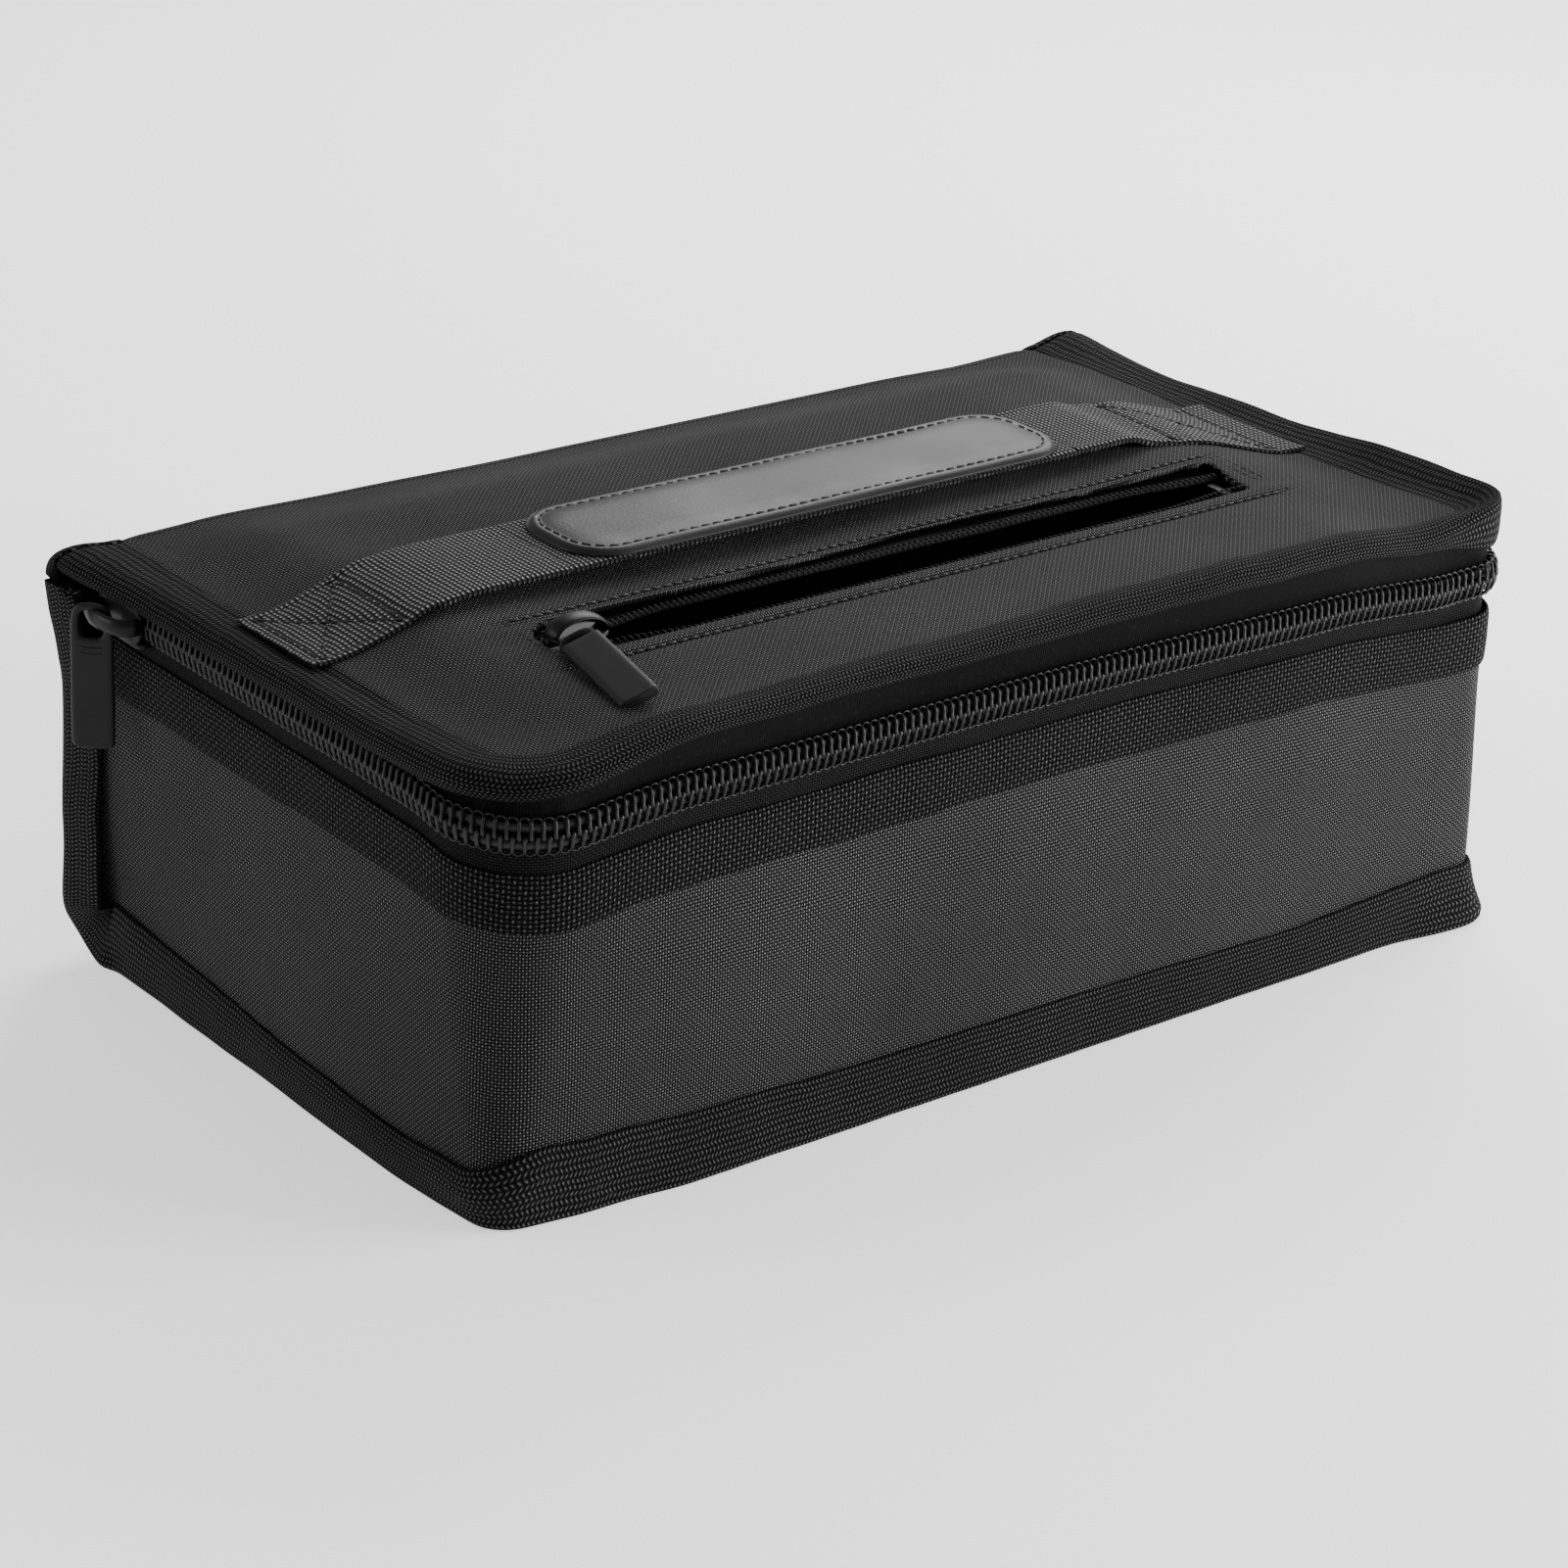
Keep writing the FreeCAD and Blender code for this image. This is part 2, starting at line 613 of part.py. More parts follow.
pocket_pouch = new_body("pocket_pouch")
add_slab(pocket_pouch, [pouch_loop(ZERO)], pouch_low, pouch_top)
cut_slab(pocket_pouch, [pouch_loop(-S["pouch_ply"])], pouch_low + S["pouch_ply"], pouch_top)

pocket_tape_low = pouch_top - S["pocket_tape"]
pocket_coil_low = pouch_top + S["ply_gap"]
pocket_coil_top = pocket_coil_low + S["pocket_coil_thick"]
coil_in = S["pocket_coil_gap"] / 2
coil_out = coil_in + S["pocket_coil_width"]
tape_in = coil_in + S["ply_gap"]
tape_out = tape_in + S["pocket_tape_width"]
pocket_coil_left = slot_left + S["slot_corner"] / 2
pocket_stop_right = slot_right - S["slot_corner"] / 2
pocket_coil_right = pocket_stop_right - S["stop_length"] - S["ply_gap"]
for name, side in (("front", -1), ("rear", 1)):
    centre = slot_centre_y
    tape_edges = sorted((centre + tape_in * side, centre + tape_out * side), key=lambda y: y.value)
    coil_edges = sorted((centre + coil_in * side, centre + coil_out * side), key=lambda y: y.value)
    block(f"pocket_tape_{name}", slot_left - S["pocket_tape_end"], slot_right + S["pocket_tape_end"],
          tape_edges[0], tape_edges[1], pocket_tape_low, pouch_top)
    block(f"pocket_coil_{name}", pocket_coil_left, pocket_coil_right,
          coil_edges[0], coil_edges[1], pocket_coil_low, pocket_coil_top)
block("pocket_stop", pocket_coil_right + S["ply_gap"], pocket_stop_right,
      slot_centre_y - coil_out, slot_centre_y + coil_out, pocket_coil_low, pocket_coil_top)


def pocket_seam(inset):
    """The line of stitching round the opening, longer at the zip's sewn right end."""
    reach = S["slot_width"] / 2 + S["stitch_inset"] - inset
    return rectangle(slot_left - S["slot_corner"] + inset, slot_right + S["seam_right"] - inset,
                     slot_centre_y - reach, slot_centre_y + reach, S["slot_corner"] - inset)


seam_low = crown_level + S["ply_gap"]
add_slab(new_body("pocket_stitch"), [pocket_seam(ZERO), pocket_seam(S["stitch_width"])],
         seam_low, seam_low + S["stitch_proud"] - S["ply_gap"] * 2)


# ---- sliders and pullers ---------------------------------------------------------------------

def slider(label, lower_plate, upper_plate, half_web, bridge_clear, places):
    """A zip slider: two plates joined by a divider, with a bridge for the puller.

    Along its own X it closes the zip, and its own Z points out of the cloth.
    """
    body = new_body(label)
    half = S["slider_length"] / 2
    mouth = S["slider_width"] / 2
    nose = S["slider_nose"] / 2
    waist = half / 4
    outline = [(-half, -nose), (-waist, -nose), (waist, -mouth), (half, -mouth),
               (half, mouth), (waist, mouth), (-waist, nose), (-half, nose)]
    thick = S["slider_plate"]
    web = rectangle(half - S["slider_web"], half - S["run_gap"], -half_web, half_web)
    add_slab(body, [web], lower_plate, upper_plate + thick)
    add_slab(body, [outline], lower_plate, lower_plate + thick)
    add_slab(body, [outline], upper_plate, upper_plate + thick)
    reach = S["bridge_length"] / 2
    foot = upper_plate + thick
    under = foot + bridge_clear
    top = under + S["bridge_thick"]
    inner = reach - S["bridge_bar"]
    arch = [(-reach, upper_plate), (-reach, top, S["bridge_bar"]), (reach, top, S["bridge_bar"]),
            (reach, upper_plate), (inner, upper_plate), (inner, under), (-inner, under),
            (-inner, upper_plate)]
    add_along(body, arch, S["bridge_bar"], ZERO)
    place(body, places)
    return top - S["bridge_thick"] / 2, under, foot


def place(body, places):
    rotation, position = places
    body.Placement = FreeCAD.Placement(FreeCAD.Vector(), rotation)
    for axis, size in zip("xyz", position):
        bind(body, f"Placement.Base.{axis}", size)


def puller(label, length, low, places):
    """A zip puller: a flat tab with an eye. Its own Y runs from the free end to the eye."""
    body = new_body(label)
    half = S["puller_width"] / 2
    head = S["eye_rise"] + S["puller_head"]
    eye = S["eye_width"] / 2
    tab = [(-half, -length, S["puller_head"]), (half, -length, S["puller_head"]),
           (half, head, S["puller_head"] * 2), (-half, head, S["puller_head"] * 2)]
    hole = rectangle(-eye, eye, S["eye_rise"] - S["eye_length"], S["eye_rise"], S["puller_head"] / 2)
    add_slab(body, [tab, hole], low, low + S["puller_thick"])

    def on_faces(edge):
        return edge.BoundBox.ZLength < 1e-4
    round_edges(body, on_faces, S["puller_thick"] / 6, "Chamfer")
    place(body, places)


back_plate = -S["tape_thick"] - S["run_gap"] - S["slider_plate"]
main_rotation = FreeCAD.Rotation(FreeCAD.Vector(0, 1, 0), FreeCAD.Vector(0, 0, -1),
                                 FreeCAD.Vector(-1, 0, 0), "ZXY")
main_middle = half_depth - S["main_slider_back"]
bridge_axis, _, _ = slider(
    "main_slider", back_plate, coil_outside + S["run_gap"],
    S["coil_parting"] / 2 - S["ply_gap"] * 2, S["main_bridge_clear"],
    (main_rotation, (-half_length, main_middle, chain_level)))

turn = math.radians(S["main_puller_turn"].value)
facing = FreeCAD.Vector(-math.sin(turn), -math.cos(turn), 0)
hanging = FreeCAD.Rotation(FreeCAD.Vector(0, 0, 1).cross(facing), FreeCAD.Vector(0, 0, 1), facing, "ZYX")
puller("main_puller", S["main_puller_length"], -S["puller_thick"] / 2,
       (hanging, (-half_length - bridge_axis, main_middle, chain_level)))

pocket_slider_x = slot_left + S["pocket_slider_in"]
upright = FreeCAD.Rotation()
_, _, plate_top = slider(
    "pocket_slider", pocket_tape_low - S["run_gap"] - S["slider_plate"],
    pocket_coil_top + S["run_gap"], coil_in - S["run_gap"], S["pocket_bridge_clear"],
    (upright, (pocket_slider_x, slot_centre_y, ZERO)))

turn = S["pocket_puller_turn"].value
lying = FreeCAD.Rotation(FreeCAD.Vector(0, 0, 1), -turn)
leg_x = pocket_slider_x - S["bridge_length"] / 2 + S["bridge_bar"] / 2
puller("pocket_puller", S["pocket_puller_length"], plate_top + S["run_gap"],
       (lying, (leg_x, slot_centre_y, ZERO)))


# ---- carry strap -----------------------------------------------------------------------------

anchor_outer = half_length - S["lid_edge_cover"] - S["anchor_margin"]
anchor_inner = anchor_outer - S["anchor_length"]
crown_edge = half_length - S["crown_inset"]
slope = (crown_level - lid_level).value / (S["crown_inset"] - S["lid_edge_cover"]).value
anchor_foot = lid_level + S["anchor_margin"] * round(slope, 4) + S["ply_gap"]
anchor_bed = crown_level + S["ply_gap"]
strap_low = crown_level + S["strap_rise"]
strap_end = S["strap_centre_length"] / 2


def bent_strip(side, lift, thick):
    """The sewn end of the strap seen from the front: up the lid's slope, then level."""
    xs = (anchor_outer, crown_edge, anchor_inner)
    zs = (anchor_foot, anchor_bed, anchor_bed)
    low = [(x * side, z + lift) for x, z in zip(xs, zs)]
    high = [(x, z + thick) for x, z in reversed(low)]
    return low + high


def cross_stitch(label, side):
    """Box-and-cross stitching, as a thin pattern on top of the sewn end."""
    body = new_body(label)
    lift = S["strap_thick"] + S["ply_gap"]
    add_along(body, bent_strip(side, lift, S["stitch_proud"]), S["strap_width"] - S["stitch_inset"],
              S["strap_centre_y"])
    margin = S["stitch_inset"] / 2
    outer, inner = anchor_outer - margin, anchor_inner + margin
    middle = (outer + inner) / 2
    reach = S["strap_width"] / 2 - S["stitch_inset"] / 2
    thread = S["stitch_width"]
    y = S["strap_centre_y"]
    span_x = (outer - inner) / 2 - thread
    span_y = reach - thread
    notch = thread
    front_rear = [[((middle - (span_x - notch)) * side, y + span_y * sign),
                   ((middle + (span_x - notch)) * side, y + span_y * sign),
                   (middle * side, y + notch * sign)] for sign in (-1, 1)]
    ends = [[((middle + span_x * sign) * side, y - (span_y - notch)),
             ((middle + span_x * sign) * side, y + (span_y - notch)),
             ((middle + notch * sign) * side, y)] for sign in (-1, 1)]
    level = crown_level + S["strap_thick"] * 3
    low = lid_level
    cut_slab(body, front_rear + ends, low, level)
    trims = [rectangle(*sorted((low_x * side, high_x * side), key=lambda x: x.value),
                       y - S["strap_width"], y + S["strap_width"])
             for low_x, high_x in ((anchor_inner - margin, inner), (outer, anchor_outer + margin))]
    cut_slab(body, trims, low, level)


for name, side in (("left", -1), ("right", 1)):
    anchor = new_body(f"strap_anchor_{name}")
    add_along(anchor, bent_strip(side, ZERO, S["strap_thick"]), S["strap_width"], S["strap_centre_y"])
    cross_stitch(f"strap_stitch_{name}", side)
    ramp = new_body(f"strap_ramp_{name}")
    near, far = (anchor_inner - S["ply_gap"]) * side, (strap_end + S["ply_gap"]) * side
    add_along(ramp, [(near, anchor_bed), (far, strap_low), (far, strap_low + S["strap_thick"]),
                     (near, anchor_bed + S["strap_thick"])], S["strap_width"], S["strap_centre_y"])

strap_front = S["strap_centre_y"] - S["strap_width"] / 2
block("strap_centre", -strap_end, strap_end, strap_front, strap_front + S["strap_width"],
      strap_low, strap_low + S["strap_thick"])


def grip_loop(inset):
    half = S["grip_length"] / 2 - inset
    reach = S["grip_width"] / 2 - inset
    y = S["strap_centre_y"]
    return rectangle(-half, half, y - reach, y + reach, S["grip_corner"] - inset)


grip_low = strap_low + S["strap_thick"] + S["ply_gap"]
grip_top = grip_low + S["grip_thick"]
add_slab(new_body("grip"), [grip_loop(ZERO)], grip_low, grip_top)
stitch_low = grip_top + S["ply_gap"]
add_slab(new_body("grip_stitch"),
         [grip_loop(S["stitch_inset"]), grip_loop(S["stitch_inset"] + S["stitch_width"])],
         stitch_low, stitch_low + S["stitch_proud"])


# ---- check and write -------------------------------------------------------------------------

doc.recompute()
for thing in doc.Objects:
    faults = {"Invalid", "Error"} & set(thing.State)
    if faults:
        raise RuntimeError(f"{thing.Label} is {', '.join(sorted(faults))}")
for piece in pieces:
    if piece.Shape.isNull() or not piece.Shape.isValid() or not piece.Shape.Solids:
        raise RuntimeError(f"{piece.Label} has no valid solid")

os.makedirs("parts", exist_ok=True)
for piece in pieces:
    piece.Shape.exportStep(f"parts/{piece.Label}.step")
print(f"{len(pieces)} pieces written")
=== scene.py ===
import math

import bmesh
import bpy
from mathutils import Matrix, Vector, noise
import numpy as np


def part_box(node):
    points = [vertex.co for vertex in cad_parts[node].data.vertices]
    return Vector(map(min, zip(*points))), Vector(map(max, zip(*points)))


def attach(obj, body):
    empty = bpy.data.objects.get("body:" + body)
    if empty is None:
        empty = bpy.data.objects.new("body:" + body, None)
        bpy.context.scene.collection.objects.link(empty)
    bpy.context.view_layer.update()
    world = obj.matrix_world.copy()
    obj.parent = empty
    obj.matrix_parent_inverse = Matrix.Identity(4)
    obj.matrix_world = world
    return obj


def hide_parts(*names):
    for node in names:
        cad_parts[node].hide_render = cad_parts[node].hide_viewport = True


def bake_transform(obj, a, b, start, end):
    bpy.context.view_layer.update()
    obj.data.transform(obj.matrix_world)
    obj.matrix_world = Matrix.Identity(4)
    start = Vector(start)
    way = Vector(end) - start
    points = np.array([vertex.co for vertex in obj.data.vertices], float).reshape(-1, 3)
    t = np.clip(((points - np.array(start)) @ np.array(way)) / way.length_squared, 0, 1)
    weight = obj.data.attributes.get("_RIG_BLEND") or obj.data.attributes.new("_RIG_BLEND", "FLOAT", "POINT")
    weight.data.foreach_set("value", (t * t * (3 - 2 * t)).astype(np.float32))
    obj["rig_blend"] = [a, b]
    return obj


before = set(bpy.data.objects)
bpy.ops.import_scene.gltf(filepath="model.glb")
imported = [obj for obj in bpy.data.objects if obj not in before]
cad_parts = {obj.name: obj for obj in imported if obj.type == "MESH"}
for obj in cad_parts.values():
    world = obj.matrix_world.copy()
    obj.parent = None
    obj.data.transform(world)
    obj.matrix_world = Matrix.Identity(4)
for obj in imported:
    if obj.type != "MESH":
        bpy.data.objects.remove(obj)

noise.seed_set(1)  # noise_vector is seeded from the clock otherwise, and each run would differ
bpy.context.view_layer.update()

# A padded, zipped battery bag. Metres, in the frame's own axes: +X along the bag, +Y to the
# hinge side at the rear, +Z up.

MM = 0.001


# ---- places taken from the frame -------------------------------------------------------------

def low(node):
    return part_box(node)[0]


def high(node):
    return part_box(node)[1]


HALF_LENGTH = high("wall_fabric").x
HALF_DEPTH = -low("wall_fabric").y
CORNER = 20 * MM
FABRIC = low("wall_padding").z - 0.05 * MM
LID_LEVEL = high("lid_binding").z - 1.05 * MM
LID_REAR = high("lid_fabric").y
CROWN = high("lid_fabric").z - LID_LEVEL
CHAIN = (high("zip_coil_lower").z + low("zip_coil_upper").z) / 2
BAND_TOP = high("wall_band").z
BAND_LOW = low("wall_band").z
BACK_TOP = high("back_base_fabric").z
BEND = 16 * MM
EDGE_COVER = 10 * MM
SLOT_LEFT = low("pocket_coil_front").x - 8 * MM
SLOT_RIGHT = high("pocket_stop").x + 1 * MM
SLOT_Y = (low("pocket_coil_front").y + high("pocket_coil_rear").y) / 2
SLOT_HALF = 9.3 * MM
STRAP_LOW, STRAP_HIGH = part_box("strap_centre")
STRAP_Y = (STRAP_LOW.y + STRAP_HIGH.y) / 2
STRAP_HALF = (STRAP_HIGH.y - STRAP_LOW.y) / 2
STRAP_THICK = STRAP_HIGH.z - STRAP_LOW.z


# ---- small sums ------------------------------------------------------------------------------

def clamp(value):
    return min(1.0, max(0.0, value))


def smooth(value):
    value = clamp(value)
    return value * value * (3 - 2 * value)


def mix(a, b, t):
    return a + (b - a) * t


def along_points(points, place):
    """A smooth curve through (place, value) pairs."""
    if place <= points[0][0]:
        return points[0][1]
    for (start, first), (end, second) in zip(points, points[1:]):
        if place <= end:
            return mix(first, second, smooth((place - start) / (end - start)))
    return points[-1][1]


# ---- shader groups ---------------------------------------------------------------------------

class Graph:
    """A node tree that is put together from sums."""

    def __init__(self, tree):
        self.tree = tree

    def node(self, kind, **settings):
        node = self.tree.nodes.new(kind)
        for name, value in settings.items():
            setattr(node, name, value)
        return node

    def feed(self, socket, value):
        if isinstance(value, bpy.types.NodeSocket):
            self.tree.links.new(value, socket)
        else:
            socket.default_value = value

    def math(self, operation, first, second=None, third=None):
        node = self.node("ShaderNodeMath", operation=operation)
        for socket, value in zip(node.inputs, (first, second, third)):
            if value is not None:
                self.feed(socket, value)
        return node.outputs[0]

    def split(self, vector):
        node = self.node("ShaderNodeSeparateXYZ")
        self.feed(node.inputs[0], vector)
        return node.outputs

    def noise(self, vector, scale, detail=2.0, roughness=0.5):
        node = self.node("ShaderNodeTexNoise")
        self.feed(node.inputs["Vector"], vector)
        self.feed(node.inputs["Scale"], scale)
        node.inputs["Detail"].default_value = detail
        node.inputs["Roughness"].default_value = roughness
        return node.outputs["Fac"]

    def remap(self, value, low_in, high_in, low_out, high_out):
        node = self.node("ShaderNodeMapRange")
        for socket, number in zip(node.inputs, (value, low_in, high_in, low_out, high_out)):
            self.feed(socket, number)
        return node.outputs[0]

    def blend(self, factor, first, second):
        node = self.node("ShaderNodeMix", data_type="RGBA")
        self.feed(node.inputs[0], factor)
        node.inputs[6].default_value = (*first, 1) if isinstance(first, tuple) else (0, 0, 0, 1)
        node.inputs[7].default_value = (*second, 1) if isinstance(second, tuple) else (0, 0, 0, 1)
        for socket, value in ((node.inputs[6], first), (node.inputs[7], second)):
            if isinstance(value, bpy.types.NodeSocket):
                self.tree.links.new(value, socket)
        return node.outputs[2]


def new_group(name, inputs, outputs):
    """An empty node group with its sockets: (graph, input sockets, output node)."""
    tree = bpy.data.node_groups.new(name, "ShaderNodeTree")
    for label, kind in inputs:
        tree.interface.new_socket(label, in_out="INPUT", socket_type=kind)
    for label in outputs:
        tree.interface.new_socket(label, in_out="OUTPUT", socket_type="NodeSocketFloat")
    graph = Graph(tree)
    source = graph.node("NodeGroupInput").outputs
    sink = graph.node("NodeGroupOutput")
    return graph, source, sink


VECTOR, FLOAT = "NodeSocketVector", "NodeSocketFloat"


def make_weave_group():
    """Plain weave: yarns over and under each other, with a little unevenness in the yarn."""
    graph, source, sink = new_group("weave", (("Vector", VECTOR), ("Yarn", FLOAT)), ("Height", "Top"))
    u, v, _ = graph.split(source["Vector"])
    wander = graph.math("MULTIPLY", graph.noise(source["Vector"], 260.0), 0.5)
    a = graph.math("ADD", graph.math("DIVIDE", u, source["Yarn"]), wander)
    b = graph.math("ADD", graph.math("DIVIDE", v, source["Yarn"]), wander)
    cos_a = graph.math("COSINE", graph.math("MULTIPLY", a, math.pi))
    cos_b = graph.math("COSINE", graph.math("MULTIPLY", b, math.pi))
    crossing_a = graph.math("MULTIPLY", cos_b, graph.math("SIGN", cos_a))
    crossing_b = graph.math("MULTIPLY", cos_a, graph.math("SIGN", cos_b))
    lift_a = graph.math("MULTIPLY_ADD", crossing_a, 0.5, 0.5)
    lift_b = graph.math("MULTIPLY_ADD", crossing_b, -0.5, 0.5)
    warp = graph.math("MULTIPLY", graph.math("ABSOLUTE", cos_a), lift_a)
    weft = graph.math("MULTIPLY", graph.math("ABSOLUTE", cos_b), lift_b)
    graph.feed(sink.inputs["Height"], graph.math("MAXIMUM", warp, weft))
    graph.feed(sink.inputs["Top"], graph.math("GREATER_THAN", warp, weft))
    return graph.tree


def make_twill_group():
    """Herringbone: slanting ribs of small stitches that turn back at the edge of each column."""
    inputs = (("Vector", VECTOR), ("Rib", FLOAT), ("Column", FLOAT), ("Slope", FLOAT), ("Yarn", FLOAT))
    graph, source, sink = new_group("twill", inputs, ("Height", "Top"))
    u, v, _ = graph.split(source["Vector"])
    wander = graph.math("MULTIPLY", graph.noise(source["Vector"], 200.0), 0.6)
    zigzag = graph.math("PINGPONG", graph.math("DIVIDE", v, source["Column"]), 1.0)
    slant = graph.math("MULTIPLY", graph.math("MULTIPLY", zigzag, source["Column"]), source["Slope"])
    rib_place = graph.math("DIVIDE", graph.math("ADD", u, slant), source["Rib"])
    rib_place = graph.math("ADD", rib_place, wander)
    rib = graph.math("SINE", graph.math("MULTIPLY", rib_place, 2 * math.pi))
    rib = graph.math("MULTIPLY_ADD", rib, 0.5, 0.5)
    yarn_place = graph.math("ADD", graph.math("DIVIDE", v, source["Yarn"]), wander)
    yarn = graph.math("ABSOLUTE", graph.math("SINE", graph.math("MULTIPLY", yarn_place, math.pi)))
    yarn = graph.math("MULTIPLY_ADD", yarn, 0.85, 0.15)
    graph.feed(sink.inputs["Height"], graph.math("MULTIPLY", rib, yarn))
    graph.feed(sink.inputs["Top"], rib)
    return graph.tree


def make_wear_group():
    """Slow unevenness of a surface: Patch is broad, Fleck is fine fibre dust."""
    graph, source, sink = new_group("wear", (("Vector", VECTOR), ("Size", FLOAT)), ("Patch", "Fleck"))
    scale = graph.math("DIVIDE", 1.0, source["Size"])
    patch = graph.noise(source["Vector"], scale, 3.0, 0.55)
    graph.feed(sink.inputs["Patch"], graph.remap(patch, 0.3, 0.7, 0.0, 1.0))
    fleck = graph.noise(source["Vector"], graph.math("MULTIPLY", scale, 45.0), 2.0, 0.6)
    graph.feed(sink.inputs["Fleck"], graph.remap(fleck, 0.62, 0.72, 0.0, 1.0))
    return graph.tree


WEAVE = make_weave_group()
TWILL = make_twill_group()
WEAR = make_wear_group()


# ---- materials -------------------------------------------------------------------------------

def start_material(name):
    material = bpy.data.materials.new(name)
    material.use_nodes = True
    graph = Graph(material.node_tree)
    shader = material.node_tree.nodes["Principled BSDF"]
    return material, graph, shader


def use_group(graph, tree, **values):
    node = graph.node("ShaderNodeGroup", node_tree=tree)
    for name, value in values.items():
        graph.feed(node.inputs[name], value)
    return node.outputs


def raise_surface(graph, shader, height, distance):
    bump = graph.node("ShaderNodeBump")
    bump.inputs["Distance"].default_value = distance
    bump.inputs["Strength"].default_value = 1.0
    graph.feed(bump.inputs["Height"], height)
    graph.feed(shader.inputs["Normal"], bump.outputs[0])


def cloth_material(name, dark, light, pattern, depth, rough=0.8, shine=0.2, crisp=3.0):
    """Woven cloth, laid on the piece's own UV map. pattern is a weave or twill with its sizes."""
    material, graph, shader = start_material(name)
    coordinates = graph.node("ShaderNodeTexCoord").outputs
    tree, sizes = pattern
    cloth = use_group(graph, tree, Vector=coordinates["UV"], **sizes)
    wear = use_group(graph, WEAR, Vector=coordinates["Object"], Size=0.05)
    # The colour follows the weave's height: the yarn crests and the yarn that lies on top carry a painted
    # highlight, the hollows between the yarns painted shade; crisp narrows the painted highlight to the
    # crests, and the wear patches add a slow tone that differs at random.
    crest_highlight_and_tone = graph.math("MULTIPLY", graph.math("POWER", cloth["Height"], crisp),
                       graph.math("MULTIPLY_ADD", cloth["Top"], 0.6, 0.4))
    crest_highlight_and_tone = graph.math("MULTIPLY", crest_highlight_and_tone, graph.math("MULTIPLY_ADD", wear["Patch"], 0.35, 0.8))
    yarn = graph.blend(crest_highlight_and_tone, dark, light)
    dusty = graph.blend(graph.math("MULTIPLY", wear["Fleck"], 0.03), yarn, (0.3, 0.3, 0.3))
    graph.feed(shader.inputs["Base Color"], dusty)
    graph.feed(shader.inputs["Roughness"], graph.remap(cloth["Height"], 0.0, 1.0, rough, rough - 0.15))
    shader.inputs["Specular IOR Level"].default_value = shine
    raise_surface(graph, shader, cloth["Height"], depth)
    return material


def grey(value):
    return (value, value, value)


def plain_material(name, colour, second, rough, shine=0.5, coat=0.0, grain=0.0004):
    """Metal, moulded plastic, thread or foam: a fine grain and slow unevenness."""
    material, graph, shader = start_material(name)
    place = graph.node("ShaderNodeTexCoord").outputs["Object"]
    wear = use_group(graph, WEAR, Vector=place, Size=0.012)
    graph.feed(shader.inputs["Base Color"], graph.blend(wear["Patch"], colour, second))
    graph.feed(shader.inputs["Roughness"], graph.remap(wear["Patch"], 0.0, 1.0, rough, rough + 0.06))
    shader.inputs["Specular IOR Level"].default_value = shine
    shader.inputs["Coat Weight"].default_value = coat
    fine = graph.noise(place, 1 / grain, 2.0)
    raise_surface(graph, shader, fine, grain * 0.06)
    return material


def leather_material():
    """Black leather: pebbled grain, soft sheen."""
    material, graph, shader = start_material("grip_leather")
    place = graph.node("ShaderNodeTexCoord").outputs["Object"]
    pebble = graph.node("ShaderNodeTexVoronoi", feature="F1")
    graph.feed(pebble.inputs["Vector"], place)
    pebble.inputs["Scale"].default_value = 1400
    wear = use_group(graph, WEAR, Vector=place, Size=0.03)
    graph.feed(shader.inputs["Base Color"], graph.blend(wear["Patch"], grey(0.012), grey(0.02)))
    graph.feed(shader.inputs["Roughness"], graph.remap(wear["Patch"], 0.0, 1.0, 0.34, 0.44))
    height = graph.math("ADD", graph.math("MULTIPLY", pebble.outputs["Distance"], 0.5), wear["Patch"])
    shader.inputs["Specular IOR Level"].default_value = 0.105
    raise_surface(graph, shader, height, 0.00005)
    return material


# Each cloth's first colour is the painted shade in the hollows of its weave, and its second the painted
# highlight on its yarn crests.
OXFORD = cloth_material("oxford_cloth", grey(0.0005), grey(0.22), (WEAVE, {"Yarn": 0.00066}), 0.00055,
                        shine=0.08, crisp=5.0)
SHEER = cloth_material("fine_tape", grey(0.001), grey(0.022), (WEAVE, {"Yarn": 0.0006}), 0.0004, shine=0.05)
BAND = cloth_material("band_twill", grey(0.0002), grey(0.095), (WEAVE, {"Yarn": 0.00105}), 0.001,
                      shine=0.05, crisp=5.0)
BINDING = cloth_material(
    "binding_twill", grey(0.0006), grey(0.085),
    (TWILL, {"Rib": 0.001, "Column": 0.0017, "Slope": 0.5, "Yarn": 0.0014}), 0.0004, shine=0.05)
WEBBING = cloth_material(
    "webbing", grey(0.001), grey(0.36),
    (TWILL, {"Rib": 0.00125, "Column": 1.0, "Slope": 0.0, "Yarn": 0.0012}), 0.0006, shine=0.15)
LINING = cloth_material(
    "fire_lining", (0.3, 0.29, 0.26), (0.6, 0.58, 0.52), (WEAVE, {"Yarn": 0.0009}), 0.0002, rough=0.6)
POUCH = cloth_material("pouch_cloth", grey(0.001), grey(0.004), (WEAVE, {"Yarn": 0.0005}), 0.0001, shine=0.05)
FOAM = plain_material("foam", grey(0.06), grey(0.09), 0.9, grain=0.0008)
THREAD = plain_material("thread", grey(0.002), grey(0.004), 0.6, shine=0.3, grain=0.0003)
COIL = plain_material("zip_coil", grey(0.002), grey(0.004), 0.42, shine=0.24, grain=0.0006)
SMALL_COIL = plain_material("small_zip_coil", grey(0.002), grey(0.003), 0.45, shine=0.15, grain=0.0006)
GLOSS_METAL = plain_material("black_metal", grey(0.002), grey(0.004), 0.4, shine=0.13, coat=0.02)
SATIN_METAL = plain_material("satin_metal", grey(0.007), grey(0.01), 0.5, shine=0.14)
LEATHER = leather_material()


# ---- mesh helpers ----------------------------------------------------------------------------

